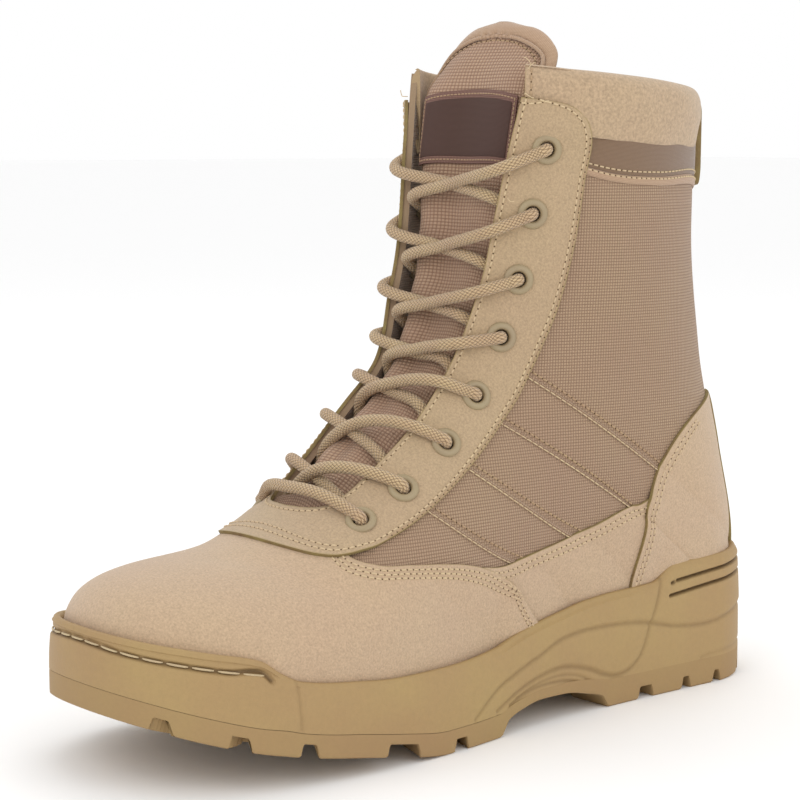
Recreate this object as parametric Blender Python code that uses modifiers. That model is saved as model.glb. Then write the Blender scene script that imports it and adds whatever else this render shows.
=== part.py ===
"""Left lace-up desert boot: hollow upper on a right-sized last, tongue, insole, cupped midsole,
lugged outsole, sixteen eyelets and the lace crossings that show between the facings.

Tables and sizes are in millimetres. The toe points to -Y, the boot's own left (lateral) side is +X,
the floor is z = 0, and t is the distance forward from the back of the heel.
"""

import math

import bmesh
import bpy
import numpy as np
from mathutils import Matrix, Vector

MM = 0.001


def table(names, *rows):
    """A short table as named columns; the first column is the one it is read by."""
    return dict(zip(names.split(), np.array(rows, float).T))


# Driving sizes of the last and the pieces on it.
ORIGIN_T = 45.0  # the part's origin lies on the floor under the heel
WALL = 2.6  # leather, foam and lining of the upper
COLLAR_PAD = 4.5  # extra thickness of the padded collar
GAP = 0.3  # between pieces that touch
BACK_SEAM_U = 8.0  # sections from here up close at the back seam
HEEL_POINT_U = 8.6  # this section ends where the back seam meets the sole's edge
THROAT_U = 4.5  # the throat opens from here up
COLLAR_U = 13.0  # topline of the shaft
SHAFT_HEIGHT = 100.0  # above this lies only the shaft

# Height of the edge where upper and sole meet.
EDGE = table(
    "t    height",
    (8, 38.0),
    (28, 37.2),
    (85, 35.0),
    (112, 32.5),
    (140, 28.4),
    (176, 24.0),
    (202, 23.7),
    (222, 24.8),
    (240, 27.2),
    (256, 31.0),
    (275, 37.2),
    (294, 44.5),
)

# Sections of the last. Each lies in a plane across the foot, from the front centreline (top) down past
# the sole's edge or, on the shaft, to the back seam (end). The planes fan round the toe and the ankle.
# lateral and medial are the half widths at the widest place, a share of the way down; low_ are those
# at the end, before the heel rounds. round is the exponent of the front's superellipse, and taper
# narrows the front of the toe sections.
SECTIONS = table(
    "u   top_t  top_z  end_t  end_z lateral medial low_lateral low_medial widest round taper",
    (-1.0, 294.0, 32.0, 259.0, 22.0, 42.0, 42.4, 42.0, 42.4, 1.00, 2.15, 0.10),  # under the toe's edge
    (0.0, 294.0, 44.5, 255.0, 20.0, 43.0, 43.6, 42.4, 42.8, 0.90, 2.15, 0.09),  # toe
    (0.5, 293.0, 52.0, 250.5, 18.7, 44.2, 44.8, 43.2, 43.7, 0.80, 2.15, 0.07),
    (1.0, 288.0, 59.5, 246.0, 17.4, 46.0, 46.0, 44.5, 44.5, 0.70, 2.15, 0.05),  # toe box
    (1.5, 279.0, 64.3, 241.0, 16.0, 48.0, 47.0, 46.0, 45.0, 0.62, 2.10, 0.02),
    (2.0, 266.0, 66.7, 236.0, 15.0, 49.5, 47.5, 47.0, 45.5, 0.55, 2.10, 0.00),
    (3.0, 243.0, 69.0, 222.0, 13.0, 51.0, 47.5, 48.2, 45.8, 0.50, 2.05, 0.00),  # ball
    (4.0, 222.5, 75.9, 201.0, 11.5, 50.5, 46.0, 48.0, 44.0, 0.48, 2.00, 0.00),  # vamp
    (5.0, 204.0, 89.5, 172.0, 12.0, 47.0, 41.5, 45.0, 38.0, 0.47, 2.00, 0.00),
    (6.0, 189.0, 103.5, 134.0, 16.0, 43.0, 38.0, 38.0, 29.5, 0.46, 2.00, 0.00),  # waist
    (7.0, 176.5, 117.5, 78.0, 22.0, 39.5, 36.5, 33.0, 29.0, 0.46, 2.10, 0.00),  # instep
    (8.0, 166.5, 133.0, 10.5, 18.0, 38.5, 37.5, 30.5, 29.5, 0.48, 2.20, 0.00),  # heel
    (8.6, 162.0, 143.5, 10.5, 38.0, 39.0, 38.0, 31.5, 30.5, 0.50, 2.20, 0.00),  # heel point
    (9.0, 159.5, 151.0, 11.0, 52.0, 39.5, 38.5, 34.0, 33.0, 0.50, 2.20, 0.00),
    (10.0, 155.0, 168.0, 19.5, 90.0, 41.0, 40.0, 39.5, 38.5, 0.50, 2.15, 0.00),  # ankle
    (11.0, 152.0, 188.0, 29.3, 130.0, 43.0, 42.0, 43.0, 42.0, 0.50, 2.10, 0.00),
    (12.0, 150.0, 210.0, 34.0, 175.0, 44.5, 43.5, 44.5, 43.5, 0.50, 2.10, 0.00),
    (13.0, 148.5, 234.0, 34.0, 220.0, 46.0, 45.0, 46.0, 45.0, 0.50, 2.10, 0.00),  # collar
    (14.0, 147.0, 254.0, 34.0, 240.0, 46.0, 45.0, 46.0, 45.0, 0.50, 2.10, 0.00),  # top of the tongue
)

# The back seam by height, and how far forward of it the back of the last is rounded.
BACK = table(
    "z      t     round",
    (18.0, 10.5, 28.0),
    (38.0, 10.5, 28.0),
    (52.0, 11.0, 31.0),
    (90.0, 19.5, 42.0),
    (130.0, 29.3, 52.0),
    (175.0, 34.0, 57.0),
    (220.0, 34.0, 58.0),
    (240.0, 34.0, 58.0),
)

# Half width of the throat, measured round the section from the front centreline.
THROAT = table(
    "u     edge",
    (0.0, 10.0),
    (4.5, 13.5),
    (4.7, 16.5),
    (5.0, 18.8),
    (5.5, 20.0),
    (6.4, 21.3),
    (7.7, 22.2),
    (9.1, 25.0),
    (10.8, 28.0),
    (12.0, 32.0),
    (13.0, 36.3),
)

# The tongue: half width, depth of its face under the upper's outer face, and how much further its middle
# and its edges lie back, because it bridges the throat flatter than the last and leans back at the top.
TONGUE = table(
    "u      half  under  middle edge",
    (4.15, 17.0, 3.3, 0.0, 0.0),
    (4.45, 19.0, 4.4, 0.0, 0.0),
    (4.85, 23.0, 8.1, -2.9, 0.0),
    (6.0, 26.0, 8.0, -2.0, 0.0),
    (7.2, 29.0, 8.0, 2.4, 0.0),
    (8.4, 31.0, 8.0, 7.0, 0.0),
    (9.5, 34.0, 8.0, 8.5, 0.0),
    (11.5, 40.0, 8.0, 10.5, 0.0),
    (12.5, 44.0, 8.0, 12.5, 1.0),
    (13.0, 44.0, 8.0, 14.0, 2.0),
    (13.24, 38.0, 8.0, 15.5, 7.5),
    (13.47, 31.0, 8.0, 17.0, 12.0),
    (13.73, 19.0, 8.0, 18.5, 17.0),
    (13.88, 8.0, 8.0, 20.0, 20.0),
)
TONGUE_THICK = 4.5

# Eyelet rows down each facing, from the collar.
EYELET_ROWS = (12.0, 11.1, 10.05, 8.95, 7.8, 6.8, 5.7, 4.8)
EYELET_INSET = 13.0  # from the throat edge to the eyelet's centre
EYELET = dict(flange=5.5, hole=2.8, barrel=3.3, proud=1.3, steps=8)
LACE_RADIUS = 2.2
LACE_LIFT = 2.7  # height of a strand's middle over the facing
LACE_OVER_EYELET = 4.5
UNDER_FACING = 6.0  # length of a strand that shows as solid behind the facing's edge
CROSS_UNDER = 2.8  # height of the two strands over the tongue where they cross
CROSS_OVER = 6.4

# The sole by t: tread, the joint between outsole and midsole, and the top of the side wall.
SOLE = table(
    "t     tread  joint  rim",
    (0, 0.0, 10.0, 50.5),
    (40, 0.0, 10.0, 49.3),
    (62, 0.0, 10.0, 48.4),
    (73, 0.0, 10.0, 42.8),
    (98, 0.0, 10.2, 41.8),
    (102, 4.6, 11.0, 41.5),
    (109, 6.6, 12.0, 41.0),
    (122, 9.0, 13.0, 39.0),
    (135, 9.3, 13.0, 36.8),
    (146, 7.6, 11.5, 34.6),
    (153, 5.4, 10.0, 32.8),
    (158, 0.0, 8.5, 31.6),
    (184, 0.0, 8.2, 29.8),
    (207, 3.4, 11.4, 30.0),
    (222, 6.0, 14.0, 31.4),
    (245, 10.0, 18.0, 34.6),
    (252, 11.6, 20.0, 38.0),
    (259, 13.2, 21.5, 43.0),
    (275, 18.0, 26.5, 46.8),
    (290, 23.5, 32.0, 50.0),
    (302, 28.0, 36.5, 53.0),
)
RIM_OUT = 3.2  # the side wall's top edge stands this far outside the upper's bottom edge
WALL_OUT = 4.6
TREAD_OUT = 5.4
LUG_DEPTH = 4.5
INSOLE_THICK = 4.0

# Grooves that run in from both sides of the tread and leave the main lugs between them.
LUG_GROOVES = table(
    "t      width  skew",
    (20, 3.5, 0),
    (38, 3.0, 0),
    (55.5, 3.5, 0),
    (77.7, 7.0, 0),
    (179, 6.0, 6),
    (207, 13.0, 8),
    (247, 6.5, 12),
    (271, 6.5, 16),
    (290, 4.5, 18),
)
EDGE_LUG = 20.0  # how far a groove reaches in from the edge

SUEDE = (0.62, 0.45, 0.29, 1.0)
NYLON = (0.37, 0.22, 0.15, 1.0)
RUBBER = (0.43, 0.29, 0.13, 1.0)
CORD = (0.54, 0.39, 0.22, 1.0)
PAINT = (0.40, 0.35, 0.23, 1.0)
LINING = (0.62, 0.50, 0.42, 1.0)


# ---------------------------------------------------------------- the last
def ease(rows, name, at):
    """A table's column at a place between its rows, on a curve that never overshoots them."""
    keys = list(rows)
    x = rows[keys[0]]
    y = rows[name]
    at = np.clip(np.atleast_1d(np.asarray(at, float)), x[0], x[-1])
    step = np.diff(x)
    slope = np.diff(y) / step
    tangent = np.zeros(len(x))
    tangent[0] = slope[0]
    tangent[-1] = slope[-1]
    for i in range(1, len(x) - 1):
        if slope[i - 1] * slope[i] > 0:
            before = 2 * step[i] + step[i - 1]
            after = step[i] + 2 * step[i - 1]
            tangent[i] = (before + after) / (before / slope[i - 1] + after / slope[i])
    k = np.clip(np.searchsorted(x, at, side="right") - 1, 0, len(x) - 2)
    f = (at - x[k]) / step[k]
    start = (2 * f**3 - 3 * f**2 + 1) * y[k] + (f**3 - 2 * f**2 + f) * step[k] * tangent[k]
    return start + (3 * f**2 - 2 * f**3) * y[k + 1] + (f**3 - f**2) * step[k] * tangent[k + 1]


def at(rows, name, place):
    return float(ease(rows, name, place)[0])


def half_section(u, side, count=90):
    """One side of a section, as points from the front centreline to its end."""
    row = {name: at(SECTIONS, name, u) for name in SECTIONS if name != "u"}
    which = "lateral" if side > 0 else "medial"
    width = row[which]
    low_width = row["low_" + which]
    if u >= BACK_SEAM_U:
        row["end_t"] = at(BACK, "t", row["end_z"])
    angle = np.linspace(0.0, math.pi / 2, count // 2)
    power = 2.0 / row["round"]
    depth_top = row["widest"] * (1.0 - np.cos(angle) ** power)
    depth_low = row["widest"] + (1.0 - row["widest"]) * np.sin(angle[1:])
    depth = np.concatenate([depth_top, depth_low])
    t = row["top_t"] + (row["end_t"] - row["top_t"]) * depth
    z = row["top_z"] + (row["end_z"] - row["top_z"]) * depth
    share = np.clip((depth - row["widest"]) / max(1.0 - row["widest"], 1e-6), 0, 1)
    share = share * share * (3.0 - 2.0 * share)
    reach = np.clip((ease(BACK, "t", z) + ease(BACK, "round", z) - t) / ease(BACK, "round", z), 0, 1)
    x_low = (width + (low_width - width) * share) * np.sqrt(1.0 - reach**2)
    x_top = width * np.sin(angle) ** power
    x = np.concatenate([x_top, x_low[len(angle) :]])
    length = math.hypot(row["top_t"] - row["end_t"], row["top_z"] - row["end_z"])
    x = x * (1.0 - row["taper"] * 0.5 * (1.0 - depth) * length / width)
    return np.stack([side * x, ORIGIN_T - t, z], axis=1)


def lengths(points):
    return np.concatenate([[0.0], np.cumsum(np.linalg.norm(np.diff(points, axis=0), axis=1))])


def on_section(u, arcs):
    """Points on the section at signed distances round it: positive is the lateral side."""
    found = []
    halves = {side: half_section(u, side) for side in (-1, 1)}
    for arc in np.atleast_1d(arcs):
        points = halves[1 if arc >= 0 else -1]
        run = lengths(points)
        found.append([np.interp(abs(arc), run, points[:, axis]) for axis in range(3)])
    return np.array(found)


def place(u, arc, height=0.0):
    """A point over the upper's outer face, and the outward direction there."""
    here = on_section(u, [arc])[0]
    along = on_section(u + 0.05, [arc])[0] - on_section(u - 0.05, [arc])[0]
    across = on_section(u, [arc + 0.7])[0] - on_section(u, [arc - 0.7])[0]
    out = np.cross(across, along)
    out /= np.linalg.norm(out)
    return here + out * height, out


# ---------------------------------------------------------------- Blender helpers
def clear_scene():
    for obj in list(bpy.data.objects):
        bpy.data.objects.remove(obj, do_unlink=True)


def collection(name, hidden=False):
    made = bpy.data.collections.new(name)
    bpy.context.scene.collection.children.link(made)
    made.hide_render = hidden
    return made


def material(name, colour, roughness, metallic=0.0):
    made = bpy.data.materials.new(name)
    made.use_nodes = True
    shader = made.node_tree.nodes["Principled BSDF"]
    shader.inputs["Base Color"].default_value = colour
    shader.inputs["Roughness"].default_value = roughness
    shader.inputs["Metallic"].default_value = metallic
    made.diffuse_color = colour
    return made


def add_mesh(name, points, faces, group, finish=None):
    """An object from points in millimetres; doubled points are welded and faces turned outward."""
    mesh = bpy.data.meshes.new(name)
    mesh.from_pydata([tuple(np.array(p) * MM) for p in points], [], faces)
    work = bmesh.new()
    work.from_mesh(mesh)
    bmesh.ops.remove_doubles(work, verts=work.verts, dist=1e-6)
    bmesh.ops.recalc_face_normals(work, faces=work.faces)
    work.to_mesh(mesh)
    work.free()
    obj = bpy.data.objects.new(name, mesh)
    group.objects.link(obj)
    if finish:
        mesh.materials.append(finish)
    return obj


def cutter(name, points, faces):
    obj = add_mesh(name, points, faces, CUTTERS)
    obj.hide_render = True
    obj.display_type = "WIRE"
    return obj


def combine(obj, other, operation):
    step = obj.modifiers.new(other.name, "BOOLEAN")
    step.operation = operation
    step.solver = "EXACT"
    step.object = other


INSTEP_INSIDE = (0.0, -55.0, 95.0)  # a point inside the boot, behind the instep


def face_out(obj, inside):
    """Turns an open shell so that its faces look away from a point inside it."""
    mesh = obj.data
    centre = Vector(inside) * MM
    score = sum((f.center - centre).dot(f.normal) * f.area for f in mesh.polygons)
    if score < 0:
        mesh.flip_normals()


def grid_faces(rows, columns, keep=lambda i, j: True):
    faces = []
    for i in range(rows - 1):
        for j in range(columns - 1):
            if keep(i, j):
                a = i * columns + j
                faces.append((a, a + 1, a + 1 + columns, a + columns))
    return faces


# ---------------------------------------------------------------- the upper
FRONT_CELLS = 3  # grid cells from the centreline to the throat edge
SIDE_CELLS = 12  # and from there to the section's end
COLUMNS = 2 * (FRONT_CELLS + SIDE_CELLS) + 1


def section_rows():
    """The places of the grid's rows, closer where the last turns round the toe."""
    parts = [
        np.linspace(-1.0, 0.0, 3)[:-1],
        np.linspace(0.0, 2.0, 7)[:-1],
        np.linspace(2.0, THROAT_U, 6)[:-1],
        np.linspace(THROAT_U, BACK_SEAM_U, 8)[:-1],
        np.linspace(BACK_SEAM_U, 10.0, 7)[:-1],
        np.linspace(10.0, COLLAR_U, 6),
    ]
    return np.concatenate(parts)


def column_arcs(u, side):
    """Distances round one side at which the grid's columns lie; one column is the throat edge."""
    edge = at(THROAT, "edge", u)
    full = lengths(half_section(u, side))[-1]
    front = edge * np.linspace(0, 1, FRONT_CELLS + 1)
    rest = edge + (full - edge) * np.linspace(0, 1, SIDE_CELLS + 1)[1:]
    return np.concatenate([front, rest])


def form_points(rows):
    points = []
    for u in rows:
        medial = on_section(u, -column_arcs(u, -1)[1:])[::-1]
        lateral = on_section(u, column_arcs(u, 1))
        points.extend(medial)
        points.extend(lateral)
    return np.array(points)


def wall_weight(u, arc):
    """Share of the full wall that is left: the collar is padded, the facings and the rest are not."""
    up = np.clip((u - 11.3) / 1.0, 0, 1)
    back = np.clip((arc - at(THROAT, "edge", u) - 16.0) / 18.0, 0, 1)
    swell = (up * up * (3 - 2 * up)) * (back * back * (3 - 2 * back))
    return (WALL + COLLAR_PAD * swell) / (WALL + COLLAR_PAD)


def shell_from_sections(name, group, keep, finish=None):
    """The last's surface as an open shell of triangles facing out, and the points of its grid."""
    rows = section_rows()
    points = form_points(rows)
    obj = add_mesh(name, points, grid_faces(len(rows), COLUMNS, keep), group, finish)
    face_out(obj, INSTEP_INSIDE)
    work = bmesh.new()
    work.from_mesh(obj.data)
    bmesh.ops.triangulate(work, faces=work.faces, quad_method="SHORT_EDGE")
    work.to_mesh(obj.data)
    work.free()
    return obj, rows, points


def build_upper():
    middle = COLUMNS // 2
    open_from = int(np.searchsorted(section_rows(), THROAT_U - 1e-6))

    def keep(i, j):
        return i < open_from or not middle - FRONT_CELLS <= j < middle + FRONT_CELLS

    obj, rows, points = shell_from_sections("upper", PARTS, keep, material("suede", SUEDE, 0.9))
    thickness = obj.vertex_groups.new(name="wall")
    arcs = {}
    for i, u in enumerate(rows):
        for side in (-1, 1):
            for k, arc in enumerate(column_arcs(u, side)):
                arcs[tuple(np.round(points[i * COLUMNS + middle + side * k], 2))] = (u, arc)
    for vertex in obj.data.vertices:
        found = arcs.get(tuple(np.round(np.array(vertex.co) / MM, 2)))
        thickness.add([vertex.index], wall_weight(*found) if found else WALL / (WALL + COLLAR_PAD), "REPLACE")
    shell = obj.modifiers.new("wall", "SOLIDIFY")
    shell.thickness = (WALL + COLLAR_PAD) * MM
    shell.offset = -1.0
    shell.vertex_group = "wall"
    combine(obj, edge_cutter("under_edge", 0.0), "DIFFERENCE")
    combine(obj, eyelet_holes(), "DIFFERENCE")
    return obj


BLOCK_BACK = -40.0  # the trimming block reaches past the boot behind, in front, to the sides and below
BLOCK_FRONT = 340.0
BLOCK_SIDE = 90.0
BLOCK_LOW = -30.0


def edge_cutter(name, drop):
    """A block whose top follows the sole's edge; it trims a form of the last to its bottom."""
    stations = np.concatenate([[BLOCK_BACK], EDGE["t"], [BLOCK_FRONT]])
    heights = ease(EDGE, "height", stations) - drop
    count = len(stations)
    points = []
    for x in (-BLOCK_SIDE, BLOCK_SIDE):
        points += [(x, ORIGIN_T - t, z) for t, z in zip(stations, heights)]
        points += [(x, ORIGIN_T - t, BLOCK_LOW) for t in stations]
    faces = []
    for k in range(count - 1):
        for side in (0, 2 * count):
            faces.append((side + k, side + k + 1, side + count + k + 1, side + count + k))
        for level in (0, count):
            faces.append((level + k, level + k + 1, 2 * count + level + k + 1, 2 * count + level + k))
    for k in (0, count - 1):
        faces.append((k, 2 * count + k, 3 * count + k, count + k))
    return cutter(name, points, faces)


def build_form(height, drop):
    """The closed outer form of the upper, swollen by height and trimmed below its edge, as a cutter."""
    form = shell_from_sections("form", CUTTERS, lambda i, j: True)[0]
    work = bmesh.new()
    work.from_mesh(form.data)
    for vertex in work.verts:
        vertex.co += vertex.normal * height * MM
    rim = [edge for edge in work.edges if edge.is_boundary]
    under = [edge for edge in rim if edge.verts[0].co.z < SHAFT_HEIGHT * MM]
    over = [edge for edge in rim if edge not in under]
    bridge_bottom(work, list({v for edge in under for v in edge.verts}))
    bmesh.ops.holes_fill(work, edges=over)
    bmesh.ops.recalc_face_normals(work, faces=work.faces)
    work.to_mesh(form.data)
    work.free()
    form.hide_render = True
    form.display_type = "WIRE"
    combine(form, edge_cutter("under_recess", drop), "DIFFERENCE")
    return form


def bridge_bottom(work, loop):
    """Closes the bottom with a ladder of faces between the points of its two sides."""
    lateral = sorted((v for v in loop if v.co.x > 1e-4), key=lambda v: v.co.y)
    medial = sorted((v for v in loop if v.co.x < -1e-4), key=lambda v: v.co.y)
    ends = sorted((v for v in loop if abs(v.co.x) <= 1e-4), key=lambda v: v.co.y)
    left = [ends[0], *lateral, ends[-1]]
    right = [ends[0], *medial, ends[-1]]
    for a, b, c, d in zip(left, left[1:], right[1:], right):
        corners = [v for k, v in enumerate((a, b, c, d)) if v not in (a, b, c, d)[:k]]
        if len(corners) > 2:
            work.faces.new(corners)


# ---------------------------------------------------------------- sole
SOLE_HALF = 32  # points down each side of the sole's outline


def edge_point(u, side):
    """Where a half-section crosses the edge at which upper and sole meet."""
    points = half_section(u, side, 240)
    above = points[:, 2] - ease(EDGE, "height", ORIGIN_T - points[:, 1])
    last = int(np.nonzero(above >= -1e-9)[0][-1])
    if last == len(points) - 1:
        return points[last]
    share = above[last] / (above[last] - above[last + 1])
    return points[last] + (points[last + 1] - points[last]) * share


def bottom_loop():
    """The upper's bottom edge, evenly spaced: heel point, lateral side, toe point, medial side."""
    halves = []
    for side in (1, -1):
        path = np.array([edge_point(HEEL_POINT_U * share**3, side) for share in np.linspace(1, 0, 240)])
        run = lengths(path)
        spots = np.linspace(0, run[-1], SOLE_HALF + 1)
        halves.append(np.stack([np.interp(spots, run, path[:, axis]) for axis in range(3)], axis=1))
    return np.concatenate([halves[0], halves[1][-2:0:-1]])


def offset_loop(loop, distance):
    """The loop moved outward in plan by a distance."""
    step = np.roll(loop, -1, axis=0) - np.roll(loop, 1, axis=0)
    out = np.stack([-step[:, 1], step[:, 0]], axis=1)
    out /= np.linalg.norm(out, axis=1)[:, None]
    moved = loop.copy()
    moved[:, :2] += out * distance
    return moved


def sole_height(loop, name, add=0.0):
    raised = loop.copy()
    raised[:, 2] = ease(SOLE, name, ORIGIN_T - loop[:, 1]) + add
    return raised


def stack_rings(name, rings, group, finish=None):
    """A closed solid through rings of like points, capped by ladders across its first and last ring."""
    count = len(rings[0])
    points = np.concatenate(rings)
    faces = []
    for k in range(len(rings) - 1):
        for j in range(count):
            a = k * count + j
            b = k * count + (j + 1) % count
            faces.append((a, b, b + count, a + count))
    for start in (0, (len(rings) - 1) * count):
        for j in range(count // 2):
            ladder = (start + j, start + j + 1, start + (count - j - 1) % count, start + (count - j) % count)
            faces.append(tuple(dict.fromkeys(ladder)))
    return add_mesh(name, points, faces, group, finish)


def build_midsole(loop, finish):
    wall = offset_loop(loop, WALL_OUT)
    rings = [
        sole_height(offset_loop(loop, TREAD_OUT), "joint", GAP / 2),
        sole_height(offset_loop(loop, TREAD_OUT - 0.2), "joint", 2.5),
        sole_height(wall, "rim", -3.0),
        sole_height(offset_loop(loop, WALL_OUT - 0.3), "rim", -0.8),
        sole_height(offset_loop(loop, RIM_OUT), "rim"),
    ]
    obj = stack_rings("midsole", rings, PARTS, finish)
    combine(obj, build_form(GAP + 0.1, GAP), "DIFFERENCE")
    return obj


def build_outsole(loop, finish):
    edge = offset_loop(loop, TREAD_OUT)
    rings = [
        sole_height(offset_loop(loop, TREAD_OUT - 1.0), "tread"),
        sole_height(edge, "tread", 1.2),
        sole_height(edge, "joint", -GAP / 2),
    ]
    obj = stack_rings("outsole", rings, PARTS, finish)
    combine(obj, lug_cutter(loop), "DIFFERENCE")
    return obj


def lug_cutter(loop):
    """Blocks that cut the grooves: one from each side at each row of the table."""
    edge = offset_loop(loop, TREAD_OUT)
    half = len(edge) // 2
    sides = {1: edge[1:half], -1: edge[half + 1 :][::-1]}
    points = []
    faces = []
    for k, t in enumerate(LUG_GROOVES["t"]):
        width = LUG_GROOVES["width"][k] / 2
        skew = LUG_GROOVES["skew"][k]
        depth = at(SOLE, "tread", t)
        for side, run in sides.items():
            order = np.argsort(run[:, 1])
            outer = abs(np.interp(ORIGIN_T - t, run[order, 1], run[order, 0]))
            start = len(points)
            for x, slant in ((outer + 6.0, 0.0), (outer - EDGE_LUG, skew)):
                for y in (-width, width):
                    for z in (depth - 12.0, depth + LUG_DEPTH):
                        points.append((side * x, ORIGIN_T - t + slant + y, z))
            corners = [(0, 1, 3, 2), (4, 6, 7, 5), (0, 4, 5, 1), (2, 3, 7, 6), (0, 2, 6, 4), (1, 5, 7, 3)]
            faces.extend(tuple(start + c for c in face) for face in corners)
    return cutter("lug_grooves", points, faces)


def build_insole(loop, finish):
    inner = offset_loop(loop, -(WALL + 1.9))
    low = inner.copy()
    low[:, 2] += GAP
    high = inner.copy()
    high[:, 2] += INSOLE_THICK - 0.8
    top = offset_loop(loop, -(WALL + 2.9))
    top[:, 2] += INSOLE_THICK
    return stack_rings("insole", [low, high, top], PARTS, finish)


# ---------------------------------------------------------------- tongue
TONGUE_ROWS = 15  # rows up to the collar, before the closer rows of the rounded top
TONGUE_TOP_ROWS = (13.24, 13.47, 13.64, 13.78, 13.88)
TONGUE_COLUMNS = 11


def backward(u):
    """The direction in a section's plane from its front towards the heel."""
    across = half_section(u, 1)
    way = across[-1] - across[0]
    way[0] = 0.0
    return way / np.linalg.norm(way)


def tongue_point(u, arc, height=0.0):
    """A point over the tongue's face."""
    row = {name: at(TONGUE, name, u) for name in TONGUE if name != "u"}
    share = min(1.0, abs(arc) / row["half"])
    share = share * share * (3.0 - 2.0 * share)
    back = row["middle"] + (row["edge"] - row["middle"]) * share
    point, out = place(u, arc, height - row["under"])
    return point + backward(u) * back


def build_tongue(finish):
    low = TONGUE["u"][0]
    rows = np.concatenate([np.linspace(low, COLLAR_U, TONGUE_ROWS), TONGUE_TOP_ROWS])
    across = np.linspace(-1, 1, TONGUE_COLUMNS)
    points = [tongue_point(u, share * at(TONGUE, "half", u)) for u in rows for share in across]
    obj = add_mesh("tongue", points, grid_faces(len(rows), len(across)), PARTS, finish)
    face_out(obj, INSTEP_INSIDE)
    shell = obj.modifiers.new("padding", "SOLIDIFY")
    shell.thickness = TONGUE_THICK * MM
    shell.offset = -1.0
    return obj


# ---------------------------------------------------------------- eyelets and laces
def eyelet_place(row, side):
    u = EYELET_ROWS[row]
    arc = side * (at(THROAT, "edge", u) + EYELET_INSET)
    return place(u, arc)


def frame_at(point, out):
    turn = Vector(out).to_track_quat("Z", "Y").to_matrix().to_4x4()
    return Matrix.Translation(Vector(point) * MM) @ turn


def eyelet_holes():
    """All the eyelet holes as one cutter of short cylinders."""
    work = bmesh.new()
    for row in range(len(EYELET_ROWS)):
        for side in (-1, 1):
            point, out = eyelet_place(row, side)
            bmesh.ops.create_cone(
                work,
                cap_ends=True,
                segments=EYELET["steps"],
                radius1=(EYELET["barrel"] + GAP + 0.1) * MM,
                radius2=(EYELET["barrel"] + GAP + 0.1) * MM,
                depth=4.0 * WALL * MM,
                matrix=frame_at(point - out * WALL / 2, out),
            )
    mesh = bpy.data.meshes.new("eyelet_holes")
    work.to_mesh(mesh)
    work.free()
    obj = bpy.data.objects.new("eyelet_holes", mesh)
    CUTTERS.objects.link(obj)
    obj.hide_render = True
    obj.display_type = "WIRE"
    return obj


def build_eyelet(name, row, side, finish):
    """A turned ring: the barrel goes through the facing and the flange lies on it."""
    under = GAP + 0.25
    profile = [
        (EYELET["hole"], -WALL),
        (EYELET["barrel"], -WALL),
        (EYELET["barrel"], under),
        (EYELET["flange"], under),
        (EYELET["hole"], EYELET["proud"]),
    ]
    mesh = bpy.data.meshes.new(name)
    points = [(r * MM, 0.0, z * MM) for r, z in reversed(profile)]
    mesh.from_pydata(points, [(i, (i + 1) % len(points)) for i in range(len(points))], [])
    mesh.materials.append(finish)
    obj = bpy.data.objects.new(name, mesh)
    PARTS.objects.link(obj)
    turn = obj.modifiers.new("turn", "SCREW")
    turn.steps = EYELET["steps"]
    turn.render_steps = EYELET["steps"]
    turn.use_merge_vertices = True
    turn.merge_threshold = 1e-6
    point, out = eyelet_place(row, side)
    obj.matrix_world = frame_at(point, out)
    return obj


HALVINGS = 24  # steps of the search for the place where a taut cord crosses a line


def taut_place(start, stop, out, arc):
    """Where a cord pulled straight between two points crosses the line of one distance round the last."""
    across = np.cross(stop - start, out)
    low = THROAT_U - 0.5
    high = COLLAR_U
    for _ in range(HALVINGS):
        u = (low + high) / 2
        above = np.dot(on_section(u, [arc])[0] - start, across) * math.copysign(1.0, across[2])
        low, high = (low, u) if above > 0 else (u, high)
    return u


def strand_path(row, side, over):
    """A strand from under one facing, across the tongue, to the eyelet one row up on the other side."""
    stop_u = EYELET_ROWS[row]
    start_u = EYELET_ROWS[row + 1]
    start, start_out = place(start_u, -side * (at(THROAT, "edge", start_u) + EYELET_INSET))
    stop, stop_out = place(stop_u, side * (at(THROAT, "edge", stop_u) + EYELET_INSET))
    out = start_out + stop_out

    def spot(arc, height):
        return place(taut_place(start, stop, out, arc), arc, height)[0]

    def on_tongue(arc, height):
        return tongue_point(taut_place(start, stop, out, arc), arc, height)

    edge = (at(THROAT, "edge", start_u) + at(THROAT, "edge", stop_u)) / 2
    under = -(WALL + LACE_RADIUS + GAP + 0.2)
    knots = [
        spot(-side * (edge + UNDER_FACING), under),
        spot(-side * edge, under),
        on_tongue(-side * edge * 0.5, LACE_RADIUS + 0.8),
        on_tongue(0.0, CROSS_OVER if over else CROSS_UNDER),
        spot(side * (edge - 0.5), LACE_LIFT + 0.3),
        spot(side * (edge + EYELET_INSET * 0.5), LACE_LIFT + 0.2),
        stop + stop_out * LACE_OVER_EYELET,
    ]
    return smooth_path(knots, 2)


def smooth_path(knots, steps):
    """Points on a smooth curve through the knots."""
    knots = np.array(knots)
    run = lengths(knots)
    slope = np.gradient(knots, run, axis=0)
    path = []
    for k, span in enumerate(np.diff(run)):
        for f in np.linspace(0, 1, steps, endpoint=False):
            start = (2 * f**3 - 3 * f**2 + 1) * knots[k] + (f**3 - 2 * f**2 + f) * span * slope[k]
            end = (3 * f**2 - 2 * f**3) * knots[k + 1] + (f**3 - f**2) * span * slope[k + 1]
            path.append(start + end)
    return [*path, knots[-1]]


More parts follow.
